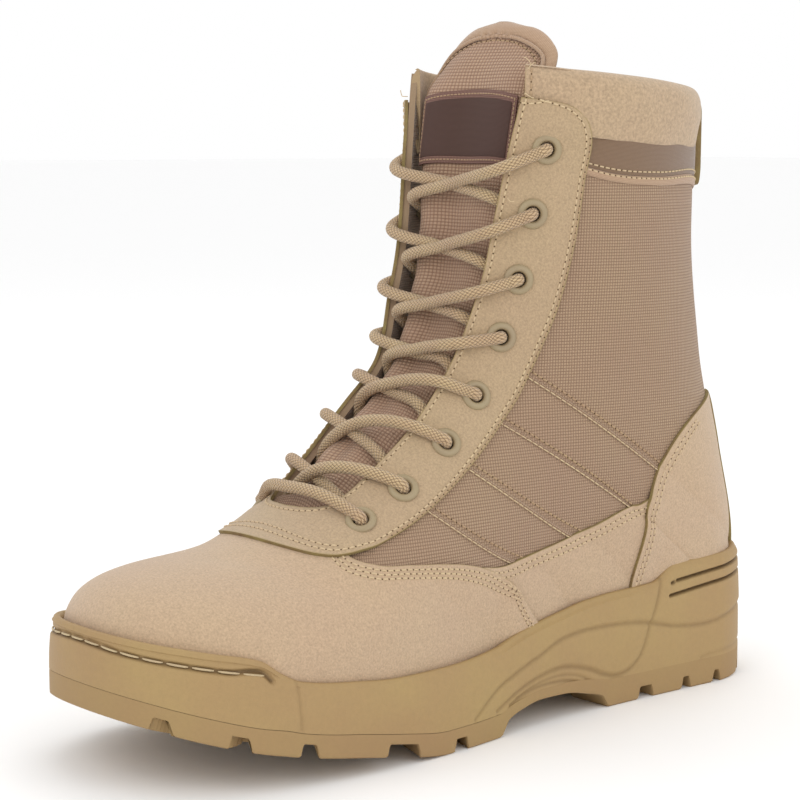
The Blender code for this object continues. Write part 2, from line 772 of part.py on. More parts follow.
def tube_mesh(name, path):
    curve = bpy.data.curves.new(name, "CURVE")
    curve.dimensions = "3D"
    curve.bevel_depth = LACE_RADIUS * MM
    curve.bevel_resolution = 1
    curve.use_fill_caps = True
    spline = curve.splines.new("POLY")
    spline.points.add(len(path) - 1)
    for spot, point in zip(spline.points, path):
        spot.co = (*(point * MM), 1.0)
    holder = bpy.data.objects.new(name, curve)
    bpy.context.scene.collection.objects.link(holder)
    mesh = bpy.data.meshes.new_from_object(holder)
    bpy.data.objects.remove(holder, do_unlink=True)
    return mesh


def build_crossing(name, row, finish):
    obj = bpy.data.objects.new(name, tube_mesh(name, strand_path(row, 1, True)))
    PARTS.objects.link(obj)
    obj.data.materials.clear()
    obj.data.materials.append(finish)
    other = bpy.data.objects.new(name + "_under", tube_mesh(name + "_under", strand_path(row, -1, False)))
    CUTTERS.objects.link(other)
    other.hide_render = True
    other.display_type = "WIRE"
    combine(obj, other, "UNION")
    return obj


def build_bar(name, finish):
    """The straight bar between the lowest pair of eyelets."""
    row = len(EYELET_ROWS) - 1
    u = EYELET_ROWS[row]
    reach = at(THROAT, "edge", u) + EYELET_INSET
    path = [place(u, share * reach, 3.6 + 0.4 * abs(share))[0] for share in np.linspace(-1, 1, 11)]
    obj = bpy.data.objects.new(name, tube_mesh(name, path))
    PARTS.objects.link(obj)
    obj.data.materials.clear()
    obj.data.materials.append(finish)
    return obj


# ---------------------------------------------------------------- the boot
clear_scene()
PARTS = collection("parts")
CUTTERS = collection("cutters", hidden=True)


def main():
    rubber = material("sole_rubber", RUBBER, 0.75)
    paint = material("painted_metal", PAINT, 0.45, 0.3)
    cord = material("lace_cord", CORD, 0.85)
    loop = bottom_loop()
    build_outsole(loop, rubber)
    build_midsole(loop, rubber)
    build_insole(loop, material("lining_cloth", LINING, 0.95))
    build_upper()
    build_tongue(material("nylon", NYLON, 0.9))
    for side, where in ((1, "lateral"), (-1, "medial")):
        for row in range(len(EYELET_ROWS)):
            build_eyelet(f"eyelet_{where}_{row + 1}", row, side, paint)
    for row in range(len(EYELET_ROWS) - 1):
        build_crossing(f"lace_crossing_{row + 1}", row, cord)
    build_bar("lace_bar", cord)


main()
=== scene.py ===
# %% [markdown]
# # A lace-up desert boot for the left foot
#
# The boot is put together here as a maker puts it together: a nylon quarter is pulled over the last,
# suede pieces are laid on it and sewn down, the collar and tongue are padded, eyelets are set, the lace
# is threaded, and the whole upper sits in a cupped rubber sole with a lugged tread.
#
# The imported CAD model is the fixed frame. Every new piece is made in the same place and at the same
# size as the CAD piece that it stands for, and rides on the one body, `root`.

# %% Load the fixed frame
import math

import bpy
import numpy as np
from mathutils import Matrix, Vector


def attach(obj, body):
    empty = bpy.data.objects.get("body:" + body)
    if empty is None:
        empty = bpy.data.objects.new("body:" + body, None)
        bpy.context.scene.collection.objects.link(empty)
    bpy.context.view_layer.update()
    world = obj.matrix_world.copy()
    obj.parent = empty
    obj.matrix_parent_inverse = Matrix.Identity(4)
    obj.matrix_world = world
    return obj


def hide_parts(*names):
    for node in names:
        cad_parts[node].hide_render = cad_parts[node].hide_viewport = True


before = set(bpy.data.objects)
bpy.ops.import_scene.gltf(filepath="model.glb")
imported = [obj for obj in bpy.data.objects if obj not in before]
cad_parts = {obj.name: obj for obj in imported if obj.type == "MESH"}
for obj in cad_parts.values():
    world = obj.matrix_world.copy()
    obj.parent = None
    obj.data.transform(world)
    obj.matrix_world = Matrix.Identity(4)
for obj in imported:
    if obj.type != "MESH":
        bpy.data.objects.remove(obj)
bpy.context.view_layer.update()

# %% [markdown]
# ## Camera
#
# A level camera with a long lens looks a little down on the outer side of the boot, with the toe
# nearer than the heel. It could be placed by eye, but three plain numbers are easier to change: the
# place, the turn round the boot and the downward tilt.

# %% Camera
CAMERA_PLACE = (0.60746, -0.60488, 0.20625)
CAMERA_TURN = math.radians(51.38)
CAMERA_TILT = math.radians(6.72)
CAMERA_LENS = 99.0  # millimetres, on a sensor 36 mm wide
bpy.ops.object.select_all(action="DESELECT")
bpy.ops.object.camera_add(location=CAMERA_PLACE, rotation=(math.pi / 2 - CAMERA_TILT, 0.0, CAMERA_TURN))
camera = bpy.context.object
camera.name = "camera"
camera.data.lens = CAMERA_LENS
camera.data.sensor_width = 36.0
camera.data.clip_start = 0.01
bpy.context.scene.camera = camera
print("camera at", CAMERA_PLACE, "with a lens of", CAMERA_LENS, "mm")

# %% [markdown]
# ## Floor and light
#
# A studio shot of this kind has a white sweep and large soft lamps, so nothing throws a hard shadow. A
# wide pale floor under a bright world gives the white ground. One large lamp in front and to the left
# models the toe and the laces, another fills the heel side, and one above lights the tongue.


# %% Floor and light
def lamp(name, place, aim, size, power, colour=(1.0, 1.0, 1.0)):
    """A large square lamp that faces a point."""
    turn = (Vector(aim) - Vector(place)).to_track_quat("-Z", "Y").to_euler()
    bpy.ops.object.light_add(type="AREA", location=place, rotation=turn)
    made = bpy.context.object
    made.name = name
    made.data.size = size
    made.data.energy = power
    made.data.color = colour
    return made


bpy.ops.mesh.primitive_plane_add(size=40.0)
floor = bpy.context.object
floor.name = "floor"
BOOT_MIDDLE = (0.0, -0.1, 0.1)
lamp("key_lamp", (0.35, -1.5, 1.25), BOOT_MIDDLE, 1.0, 4.2, (1.0, 0.99, 0.97))
lamp("fill_lamp", (1.5, 0.1, 0.7), BOOT_MIDDLE, 1.2, 4.0)
lamp("top_lamp", (-0.5, 0.3, 1.5), BOOT_MIDDLE, 1.0, 3.0)
world = bpy.data.worlds.new("studio")
bpy.context.scene.world = world
world.use_nodes = True
sky = world.node_tree.nodes["Background"].inputs
sky["Color"].default_value = (1.0, 1.0, 1.0, 1.0)
sky["Strength"].default_value = 1.0
bpy.context.scene.view_settings.view_transform = "Standard"

# %% [markdown]
# ## The last
#
# Everything on a boot follows the last, the solid foot form that the upper is pulled over. Here the
# last is a table of sections: each is a plane across the foot, from the front centreline down to the
# sole's edge or, on the shaft, to the back seam. The planes fan round the toe and the ankle. A place on
# it is given by two numbers, as on a pattern: `u` says which section, and `arc` how far round it from
# the front, in millimetres, plus on the outer side and minus on the inner side.
#
# The tables are the same as in the CAD source, so that a new piece lies exactly where its CAD piece does.

# %% Tables of the last
MM = 0.001
ORIGIN_T = 45.0  # t is the distance forward from the back of the heel; the origin lies under the heel
BACK_SEAM_U = 8.0  # from this section up, the sections end at the back seam
HEEL_POINT_U = 8.6  # the section that ends where the back seam meets the sole
COLLAR_U = 13.0
SIDES = ((1, "lateral"), (-1, "medial"))


def table(names, *rows):
    """A short table as named columns; the first column is the one it is read by."""
    return dict(zip(names.split(), np.array(rows, float).T))


EDGE = table(
    "t    height",
    (8, 38.0),
    (28, 37.2),
    (85, 35.0),
    (112, 32.5),
    (140, 28.4),
    (176, 24.0),
    (202, 23.7),
    (222, 24.8),
    (240, 27.2),
    (256, 31.0),
    (275, 37.2),
    (294, 44.5),
)
SECTIONS = table(
    "u   top_t  top_z  end_t  end_z lateral medial low_lateral low_medial widest round taper",
    (-1.0, 294.0, 32.0, 259.0, 22.0, 42.0, 42.4, 42.0, 42.4, 1.00, 2.15, 0.10),  # under the toe's edge
    (0.0, 294.0, 44.5, 255.0, 20.0, 43.0, 43.6, 42.4, 42.8, 0.90, 2.15, 0.09),  # toe
    (0.5, 293.0, 52.0, 250.5, 18.7, 44.2, 44.8, 43.2, 43.7, 0.80, 2.15, 0.07),
    (1.0, 288.0, 59.5, 246.0, 17.4, 46.0, 46.0, 44.5, 44.5, 0.70, 2.15, 0.05),  # toe box
    (1.5, 279.0, 64.3, 241.0, 16.0, 48.0, 47.0, 46.0, 45.0, 0.62, 2.10, 0.02),
    (2.0, 266.0, 66.7, 236.0, 15.0, 49.5, 47.5, 47.0, 45.5, 0.55, 2.10, 0.00),
    (3.0, 243.0, 69.0, 222.0, 13.0, 51.0, 47.5, 48.2, 45.8, 0.50, 2.05, 0.00),  # ball
    (4.0, 222.5, 75.9, 201.0, 11.5, 50.5, 46.0, 48.0, 44.0, 0.48, 2.00, 0.00),  # vamp
    (5.0, 204.0, 89.5, 172.0, 12.0, 47.0, 41.5, 45.0, 38.0, 0.47, 2.00, 0.00),
    (6.0, 189.0, 103.5, 134.0, 16.0, 43.0, 38.0, 38.0, 29.5, 0.46, 2.00, 0.00),  # waist
    (7.0, 176.5, 117.5, 78.0, 22.0, 39.5, 36.5, 33.0, 29.0, 0.46, 2.10, 0.00),  # instep
    (8.0, 166.5, 133.0, 10.5, 18.0, 38.5, 37.5, 30.5, 29.5, 0.48, 2.20, 0.00),  # heel
    (8.6, 162.0, 143.5, 10.5, 38.0, 39.0, 38.0, 31.5, 30.5, 0.50, 2.20, 0.00),  # heel point
    (9.0, 159.5, 151.0, 11.0, 52.0, 39.5, 38.5, 34.0, 33.0, 0.50, 2.20, 0.00),
    (10.0, 155.0, 168.0, 19.5, 90.0, 41.0, 40.0, 39.5, 38.5, 0.50, 2.15, 0.00),  # ankle
    (11.0, 152.0, 188.0, 29.3, 130.0, 43.0, 42.0, 43.0, 42.0, 0.50, 2.10, 0.00),
    (12.0, 150.0, 210.0, 34.0, 175.0, 44.5, 43.5, 44.5, 43.5, 0.50, 2.10, 0.00),
    (13.0, 148.5, 234.0, 34.0, 220.0, 46.0, 45.0, 46.0, 45.0, 0.50, 2.10, 0.00),  # collar
    (14.0, 147.0, 254.0, 34.0, 240.0, 46.0, 45.0, 46.0, 45.0, 0.50, 2.10, 0.00),  # top of the tongue
)
BACK = table(
    "z      t     round",
    (18.0, 10.5, 28.0),
    (38.0, 10.5, 28.0),
    (52.0, 11.0, 31.0),
    (90.0, 19.5, 42.0),
    (130.0, 29.3, 52.0),
    (175.0, 34.0, 57.0),
    (220.0, 34.0, 58.0),
    (240.0, 34.0, 58.0),
)
THROAT = table(
    "u     edge",
    (0.0, 10.0),
    (4.5, 13.5),
    (4.7, 16.5),
    (5.0, 18.8),
    (5.5, 20.0),
    (6.4, 21.3),
    (7.7, 22.2),
    (9.1, 25.0),
    (10.8, 28.0),
    (12.0, 32.0),
    (13.0, 36.3),
)
print("the last has", len(SECTIONS["u"]), "sections")

# %% [markdown]
# ## Reading a place off the last
#
# A curve between the rows of a table must not overshoot them, or the leather would bulge, so `ease`
# uses a monotone curve. All sections are worked out once as a fine net of points with their outward
# directions. After that `on_last` reads thousands of places at a time between the net's points.


# %% The last as a net
def cubic(values, slopes, k, f, step):
    """A cubic from knot k to knot k + 1, read a share f of the way over a step."""
    start = (2 * f**3 - 3 * f**2 + 1) * values[k] + (f**3 - 2 * f**2 + f) * step * slopes[k]
    return start + (3 * f**2 - 2 * f**3) * values[k + 1] + (f**3 - f**2) * step * slopes[k + 1]


def ease(rows, name, at):
    """A table's column at places between its rows, on a curve that never overshoots them."""
    x = rows[list(rows)[0]]
    y = rows[name]
    at = np.asarray(at, float)
    spot = np.clip(at, x[0], x[-1])
    step = np.diff(x)
    slope = np.diff(y) / step
    tangent = np.zeros(len(x))
    tangent[0] = slope[0]
    tangent[-1] = slope[-1]
    for i in range(1, len(x) - 1):
        if slope[i - 1] * slope[i] > 0:
            before = 2 * step[i] + step[i - 1]
            after = step[i] + 2 * step[i - 1]
            tangent[i] = (before + after) / (before / slope[i - 1] + after / slope[i])
    k = np.clip(np.searchsorted(x, spot, side="right") - 1, 0, len(x) - 2)
    return cubic(y, tangent, k, (spot - x[k]) / step[k], step[k])


def soft(x):
    """A soft step from 0 to 1."""
    x = np.clip(x, 0.0, 1.0)
    return x * x * (3.0 - 2.0 * x)


CURVE_STEPS = 60  # points on a section's top curve, and on its lower one


def half_sections(u, side):
    """One side of many sections, each from the front centreline to its end."""
    row = {name: ease(SECTIONS, name, u)[:, None] for name in SECTIONS if name != "u"}
    which = "lateral" if side > 0 else "medial"
    width = row[which]
    low_width = row["low_" + which]
    end_t = np.where((u >= BACK_SEAM_U)[:, None], ease(BACK, "t", row["end_z"]), row["end_t"])
    angle = np.linspace(0.0, math.pi / 2, CURVE_STEPS)[None, :]
    power = 2.0 / row["round"]
    depth_top = row["widest"] * (1.0 - np.cos(angle) ** power)
    depth_low = row["widest"] + (1.0 - row["widest"]) * np.sin(angle[:, 1:])
    depth = np.concatenate([depth_top, depth_low], axis=1)
    t = row["top_t"] + (end_t - row["top_t"]) * depth
    z = row["top_z"] + (row["end_z"] - row["top_z"]) * depth
    share = soft((depth - row["widest"]) / np.maximum(1.0 - row["widest"], 1e-6))
    reach = np.clip((ease(BACK, "t", z) + ease(BACK, "round", z) - t) / ease(BACK, "round", z), 0, 1)
    x_low = (width + (low_width - width) * share) * np.sqrt(1.0 - reach**2)
    x_top = width * np.sin(angle) ** power
    x = np.concatenate([x_top, x_low[:, CURVE_STEPS:]], axis=1)
    length = np.hypot(row["top_t"] - end_t, row["top_z"] - row["end_z"])
    x = x * (1.0 - row["taper"] * 0.5 * (1.0 - depth) * length / width)
    return np.stack([side * x, ORIGIN_T - t, z], axis=2)


def lengths(points):
    """Distance run along a line of points, or along many lines at once."""
    step = np.linalg.norm(np.diff(points, axis=-2), axis=-1)
    start = np.zeros(step.shape[:-1] + (1,))
    return np.concatenate([start, np.cumsum(step, axis=-1)], axis=-1)


def along_line(points, run, at):
    """Places on a line of points at distances along it; run gives the distance of each point."""
    return np.stack([np.interp(at, run, column) for column in points.T], axis=1)


NET_U = np.linspace(-1.0, 14.0, 751)
NET_COLUMNS = 161
LAST_CELL = 1.001  # keeps a reading just inside the net's last row or column
net = {}
full = {}
plan = {}
for side in (-1, 1):
    raw = half_sections(NET_U, side)
    run = lengths(raw)
    full[side] = run[:, -1]
    even = np.linspace(0.0, 1.0, NET_COLUMNS)
    net[side] = np.array([along_line(points, line / line[-1], even) for points, line in zip(raw, run)])
    flat = lengths(net[side][:, :, :2])
    widest = np.argmax(np.abs(net[side][:, :, 0]), axis=1)
    rows = np.arange(len(NET_U))
    plan[side] = flat - flat[rows, widest][:, None] + net[side][rows, widest, 1][:, None]
whole = np.concatenate([net[-1][:, :0:-1], net[1]], axis=1)
out = np.cross(np.gradient(whole, axis=1), np.gradient(whole, axis=0))
out /= np.maximum(np.linalg.norm(out, axis=2), 1e-9)[:, :, None]
at_seam = NET_U >= BACK_SEAM_U + 0.1
shared = out[at_seam, 0] + out[at_seam, -1]
shared[:, 0] = 0.0
shared /= np.linalg.norm(shared, axis=1)[:, None]
out[at_seam, 0] = shared
out[at_seam, -1] = shared
facing_out = {-1: out[:, NET_COLUMNS - 1 :: -1], 1: out[:, NET_COLUMNS - 1 :]}


def read_net(nets, u, arc):
    """Values between the net's points, at sections u and distances arc."""
    u, arc = np.broadcast_arrays(np.asarray(u, float), np.asarray(arc, float))
    row = np.clip((u - NET_U[0]) / (NET_U[1] - NET_U[0]), 0, len(NET_U) - LAST_CELL)
    i = row.astype(int)
    f = row - i
    shape = nets[1].shape[2:]
    found = np.zeros(u.shape + shape)
    for side in (-1, 1):
        mine = (arc >= 0) if side > 0 else (arc < 0)
        a, g = i[mine], f[mine]
        reach = full[side][a] * (1 - g) + full[side][a + 1] * g
        column = np.clip(np.abs(arc[mine]) / reach, 0, 1) * (NET_COLUMNS - LAST_CELL)
        j = column.astype(int)
        h = column - j
        if shape:
            g = g[:, None]
            h = h[:, None]
        values = nets[side]
        low = values[a, j] * (1 - h) + values[a, j + 1] * h
        high = values[a + 1, j] * (1 - h) + values[a + 1, j + 1] * h
        found[mine] = low * (1 - g) + high * g
    return found


def on_last(u, arc, height=0.0):
    """Points over the last, and the outward directions there."""
    point = read_net(net, u, arc)
    away = read_net(facing_out, u, arc)
    away /= np.linalg.norm(away, axis=-1)[..., None]
    return point + away * np.asarray(height, float)[..., None], away


def by_side(side, u, rows):
    """Reads each side's own row at sections u; side is 1 or -1, or an array of them."""
    return np.where(np.asarray(side) > 0, np.interp(u, NET_U, rows[1]), np.interp(u, NET_U, rows[-1]))


def reach_of(u, side):
    """Length of a half section, which is where the back seam lies above the heel."""
    return by_side(side, u, full)


def side_share(u, side):
    """Shrinks an outer-side distance to the inner side's shorter section."""
    return np.where(np.asarray(side) > 0, 1.0, reach_of(u, -1) / reach_of(u, 1))


print("the net has", whole.shape[0] * whole.shape[1], "points")

# %% [markdown]
# ## The edge at the sole
#
# The upper ends where it enters the cupped sole. `EDGE` gives the height of that edge by the distance
# forward, and this cell finds how far round each section it lies. The same edge, run right round the
# boot, is the outline from which the sole is later grown outward.

# %% Where the upper meets the sole
edge_reach = {}
for side in (-1, 1):
    above = net[side][:, :, 2] - ease(EDGE, "height", ORIGIN_T - net[side][:, :, 1])
    clear = above >= -1e-9
    last_above = np.where(clear.any(axis=1), NET_COLUMNS - 1 - np.argmax(clear[:, ::-1], axis=1), 0)
    nearer = np.minimum(last_above, NET_COLUMNS - 2)
    drop = above[rows, nearer] - above[rows, nearer + 1]
    part = np.where(drop > 1e-9, np.clip(above[rows, nearer] / np.maximum(drop, 1e-9), 0, 1), 0.0)
    reach = (nearer + part) / (NET_COLUMNS - 1) * full[side]
    reach[NET_U >= HEEL_POINT_U] = full[side][NET_U >= HEEL_POINT_U]
    reach[NET_U < 0.0] = 0.0
    edge_reach[side] = reach


def sole_edge(u, side):
    """How far round a section the sole's edge lies."""
    return by_side(side, u, edge_reach)


print("round the ball the edge lies", round(float(sole_edge(3.0, 1)), 1), "mm from the centreline")

# %% [markdown]
# ## Cutting and pulling a pattern piece
#
# Most pieces of an upper start flat and are pulled over the last. Here that is a grid primitive whose
# points are moved to the places that a pattern gives: `w` runs along the piece and `v` across it. The
# piece keeps a UV map in metres, for its weave, and the distance to its nearest cut edge, for wear.
# Solidify then gives the leather its thickness and Bevel softens the cut.


# %% Helpers that every piece uses
def only(obj):
    """Selects one object alone and makes it active."""
    bpy.ops.object.select_all(action="DESELECT")
    obj.select_set(True)
    bpy.context.view_layer.objects.active = obj


def pulled(name, along, across, shape, mapped=None, inside=None):
    """A grid primitive pulled to shape(w, v), in millimetres; mapped(w, v) gives its UV map in metres."""
    bpy.ops.object.select_all(action="DESELECT")
    bpy.ops.mesh.primitive_grid_add(x_subdivisions=along, y_subdivisions=across, size=1.0)
    obj = bpy.context.object
    obj.name = name
    mesh = obj.data
    co = np.empty(len(mesh.vertices) * 3)
    mesh.vertices.foreach_get("co", co)
    flat = np.rint((co.reshape(-1, 3)[:, :2] + 0.5) * (along, across)).astype(int)
    w = np.linspace(0, 1, along + 1)[:, None] * np.ones(across + 1)[None, :]
    v = np.ones(along + 1)[:, None] * np.linspace(0, 1, across + 1)[None, :]
    points = shape(w.ravel(), v.ravel()).reshape(along + 1, across + 1, 3)
    mesh.vertices.foreach_set("co", (points[flat[:, 0], flat[:, 1]] * MM).ravel())
    run_w = lengths(points.transpose(1, 0, 2)).T
    run_v = lengths(points)
    edge = np.minimum(np.minimum(run_w, run_w[-1:] - run_w), np.minimum(run_v, run_v[:, -1:] - run_v))
    rim = mesh.attributes.new("edge", "FLOAT", "POINT")
    rim.data.foreach_set("value", edge[flat[:, 0], flat[:, 1]].astype(np.float32))
    chart = np.stack([run_w, run_v], axis=2) * MM if mapped is None else mapped(w, v)
    corner = np.empty(len(mesh.loops), dtype=int)
    mesh.loops.foreach_get("vertex_index", corner)
    where = flat[corner]
    mesh.uv_layers[0].data.foreach_set("uv", chart[where[:, 0], where[:, 1]].astype(np.float32).ravel())
    mesh.update()
    if inside is not None:
        look = sum((f.center - Vector(inside) * MM).dot(f.normal) * f.area for f in mesh.polygons)
        if look < 0:
            mesh.flip_normals()
    return obj


def clad(obj, *finishes):
    """Gives a piece its finishes, in the order of their slots."""
    for finish in finishes:
        obj.data.materials.append(finish)


def laid(name, along, across, spot, *finishes):
    """A piece laid on the last: spot(w, v) gives its points and their directions."""
    piece = pulled(name, along, across, lambda w, v: spot(w, v)[0], None, INSIDE)
    clad(piece, *finishes)
    return piece


def apply_modifier(obj, modifier):
    only(obj)
    bpy.ops.object.modifier_apply(modifier=modifier.name)


def thicken(obj, thickness, round_edge=0.0, rim=0, inner=0):
    """Gives a pulled piece its thickness inward, then rounds its cut edges; rim and inner pick finishes."""
    wall = obj.modifiers.new("thickness", "SOLIDIFY")
    wall.thickness = thickness * MM
    wall.offset = -1.0
    wall.use_quality_normals = True
    wall.material_offset_rim = rim
    wall.material_offset = inner
    apply_modifier(obj, wall)
    if round_edge:
        cut = obj.modifiers.new("rounded cut", "BEVEL")
        cut.width = round_edge * MM
        cut.segments = 2
        cut.limit_method = "ANGLE"
        cut.angle_limit = math.radians(55)
        cut.use_clamp_overlap = True
        apply_modifier(obj, cut)


def weld(obj, distance):
    """Merges points closer than a distance in metres, as along a seam where a grid meets itself."""
    only(obj)
    bpy.ops.object.mode_set(mode="EDIT")
    bpy.ops.mesh.select_all(action="SELECT")
    bpy.ops.mesh.remove_doubles(threshold=distance)
    bpy.ops.object.mode_set(mode="OBJECT")


def closed(obj, distance, fill=True):
    """Welds a piece, fills its open ends and turns all its faces outward, which makes it one solid."""
    weld(obj, distance)
    bpy.ops.object.mode_set(mode="EDIT")
    if fill:
        bpy.ops.mesh.select_all(action="DESELECT")
        bpy.ops.mesh.select_non_manifold()
        bpy.ops.mesh.fill_holes(sides=0)
    bpy.ops.mesh.select_all(action="SELECT")
    bpy.ops.mesh.normals_make_consistent(inside=False)
    bpy.ops.object.mode_set(mode="OBJECT")


def joined(name, *objs):
    """Joins pieces into the first of them and names it."""
    bpy.ops.object.select_all(action="DESELECT")
    for obj in objs:
        obj.select_set(True)
    bpy.context.view_layer.objects.active = objs[0]
    bpy.ops.object.join()
    objs[0].name = name
    return objs[0]


def done(obj, slot, *nodes, smooth=40.0):
    """Smooths a finished piece, rides it on the boot's one body and hides the CAD nodes it stands for."""
    only(obj)
    bpy.ops.object.shade_smooth_by_angle(angle=math.radians(smooth))
    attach(obj, "root")
    if nodes:
        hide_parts(*nodes)
    faces = sum(len(f.vertices) - 2 for f in obj.data.polygons)
    print(f"{obj.name}: {faces} triangles")
    return obj


def smooth_line(knots, scale=(25.0, 1.0)):
    """A function of w from 0 to 1 that runs smoothly through the knots at an even pace."""
    knots = np.array(knots, float)
    scale = np.array(scale if knots.shape[1] == 2 else (1.0,) * knots.shape[1])
    run = lengths(knots * scale)
    slope = np.gradient(knots, run, axis=0)

    def read(w):
        at = np.clip(np.asarray(w, float), 0, 1) * run[-1]
        k = np.clip(np.searchsorted(run, at, side="right") - 1, 0, len(run) - 2)
        step = (run[k + 1] - run[k])[..., None]
        return cubic(knots, slope, k, (at - run[k])[..., None] / step, step)

    return read


def between(inner, outer, lift):
    """A pattern piece between two lines on the last, as spot(w, v): points and their directions."""

    def spot(w, v):
        place = inner(w) * (1 - v)[:, None] + outer(w) * v[:, None]
        u, arc = place[:, 0], place[:, 1]
        return on_last(u, arc, lift(u, arc))

    return spot


def nearest(points, line):
    """Each point's distance from the nearest point of a line, in batches to spare memory."""
    gap = np.empty(len(points))
    for start in range(0, len(points), 4000):
        part = points[start : start + 4000]
        gap[start : start + 4000] = np.linalg.norm(part[:, None] - line[None], axis=2).min(axis=1)
    return gap


INSIDE = (0.0, -55.0, 95.0)  # a point inside the boot, behind the instep
print("helpers are ready")

# %% [markdown]
# ## Finishes
#
# A maker's sample board for this boot has brushed suede, basket-weave nylon, a matte rubber, a round
# braided lace, painted eyelets, a satin tape and a soft lining. Each is built from noise and simple
# sums, never from a picture. Effects that several finishes share are node groups with named inputs and
# outputs: they put out a colour, a roughness or a height, and the shader stays in the material.


# %% Node helpers
def srgb(red, green, blue):
    """A linear colour from the 0 to 255 values that a paint chart gives."""
    line = [c / 255 for c in (red, green, blue)]
    return tuple(c / 12.92 if c <= 0.04045 else ((c + 0.055) / 1.055) ** 2.4 for c in line) + (1.0,)


def put(tree, kind, inputs=None, **settings):
    """Adds a node; an input is a plain value or the socket that feeds it."""
    made = tree.nodes.new(kind)
    for name, value in settings.items():
        setattr(made, name, value)
    for key, value in (inputs or {}).items():
        if isinstance(value, bpy.types.NodeSocket):
            tree.links.new(value, made.inputs[key])
        else:
            made.inputs[key].default_value = value
    return made


def place_of(tree):
    """The boot's own coordinates, which every noise is read by."""
    return tree.nodes.new("ShaderNodeTexCoord").outputs["Object"]


def maths(tree, operation, a, b=0.5, c=0.5):
    return put(tree, "ShaderNodeMath", {0: a, 1: b, 2: c}, operation=operation).outputs[0]


def mixed(tree, share, a, b):
    """A colour between two others."""
    return put(tree, "ShaderNodeMix", {0: share, 6: a, 7: b}, data_type="RGBA").outputs[2]


def ranged(tree, value, low, high, to_low=0.0, to_high=1.0):
    sockets = {"Value": value, "From Min": low, "From Max": high, "To Min": to_low, "To Max": to_high}
    return put(tree, "ShaderNodeMapRange", sockets).outputs["Result"]


def noise(tree, vector, scale, detail=2.0, roughness=0.5):
    sockets = {"Vector": vector, "Scale": scale, "Detail": detail, "Roughness": roughness}
    return put(tree, "ShaderNodeTexNoise", sockets).outputs["Fac"]


def new_group(name, inputs, outputs):
    """An empty shader node group with named inputs and outputs."""
    tree = bpy.data.node_groups.new(name, "ShaderNodeTree")
    for label, kind, value in inputs:
        socket = tree.interface.new_socket(label, in_out="INPUT", socket_type=kind)
        if value is not None:
            socket.default_value = value
    for label, kind in outputs:
        tree.interface.new_socket(label, in_out="OUTPUT", socket_type=kind)
    return tree, tree.nodes.new("NodeGroupInput").outputs, tree.nodes.new("NodeGroupOutput").inputs


def use_group(tree, group, inputs):
    return put(tree, "ShaderNodeGroup", inputs, node_tree=group).outputs


def new_material(name, roughness, level=0.5, sheen=0.0, sheen_roughness=0.5):
    """A material, its node tree and its shader's inputs; level is how much a smooth spot would shine."""
    made = bpy.data.materials.new(name)
    made.use_nodes = True
    shader = made.node_tree.nodes["Principled BSDF"].inputs
    shader["Roughness"].default_value = roughness
    shader["Specular IOR Level"].default_value = level
    shader["Sheen Weight"].default_value = sheen
    shader["Sheen Roughness"].default_value = sheen_roughness
    return made, made.node_tree, shader


def surface(tree, shader, colour, height, strength, distance):
    """Links a colour to the shader, and a height as a bump of a size in metres."""
    tree.links.new(colour, shader["Base Color"])
    relief = put(tree, "ShaderNodeBump", {"Strength": strength, "Distance": distance, "Height": height})
    tree.links.new(relief.outputs["Normal"], shader["Normal"])


COLOUR, NUMBER, VECTOR = "NodeSocketColor", "NodeSocketFloat", "NodeSocketVector"
print("node helpers are ready")

# %% [markdown]
# ## Effects that several finishes share
#
# *Mottle* shifts a colour a little lighter and darker at two sizes, as dye, light wear and dust do.
# *Nap* is the short brushed fibre of suede: fine grains over soft dents. *Weave* crosses two sets of
# threads, each passing over and under the other, and serves for nylon, satin and, on a slanted map, for
# the lace's braid. *Worn cut* shifts the colour to a cut colour in a narrow line along a piece's cut edge.


# %% Mottle
mottle, inp, outp = new_group(
    "mottle",
    [("Colour", COLOUR, None), ("Size", NUMBER, 30.0), ("Amount", NUMBER, 0.1), ("Warmth", NUMBER, 0.05)],
    [("Colour", COLOUR), ("Mask", NUMBER)],
)
where = place_of(mottle)
wide = noise(mottle, where, inp["Size"], 3.0, 0.55)
fine = noise(mottle, where, maths(mottle, "MULTIPLY", inp["Size"], 26.0), 2.0, 0.6)
sum_of = maths(mottle, "MULTIPLY_ADD", fine, 0.45, maths(mottle, "MULTIPLY", wide, 0.55))
strength = maths(mottle, "MULTIPLY", inp["Amount"], 4.0)
shift = maths(mottle, "MULTIPLY", maths(mottle, "SUBTRACT", sum_of, 0.5), strength)
value = maths(mottle, "ADD", shift, 1.0)
hue = maths(mottle, "MULTIPLY_ADD", maths(mottle, "SUBTRACT", wide, 0.5), inp["Warmth"], 0.5)
shade = put(mottle, "ShaderNodeHueSaturation", {"Hue": hue, "Value": value, "Color": inp["Colour"]})
mottle.links.new(shade.outputs["Color"], outp["Colour"])
mottle.links.new(sum_of, outp["Mask"])

# %% Nap
nap, inp, outp = new_group(
    "nap",
    [("Grain", NUMBER, 900.0), ("Dents", NUMBER, 0.3)],
    [("Height", NUMBER), ("Shade", NUMBER)],
)
where = place_of(nap)
grains = noise(nap, where, inp["Grain"], 3.0, 0.65)
clumps = noise(nap, where, maths(nap, "MULTIPLY", inp["Grain"], 0.28), 2.0, 0.5)
dents = noise(nap, where, maths(nap, "MULTIPLY", inp["Grain"], 0.05), 2.0, 0.5)
fibres = maths(nap, "MULTIPLY_ADD", grains, 0.93, maths(nap, "MULTIPLY", clumps, 0.07))
nap.links.new(maths(nap, "MULTIPLY_ADD", dents, inp["Dents"], fibres), outp["Height"])
nap.links.new(fibres, outp["Shade"])

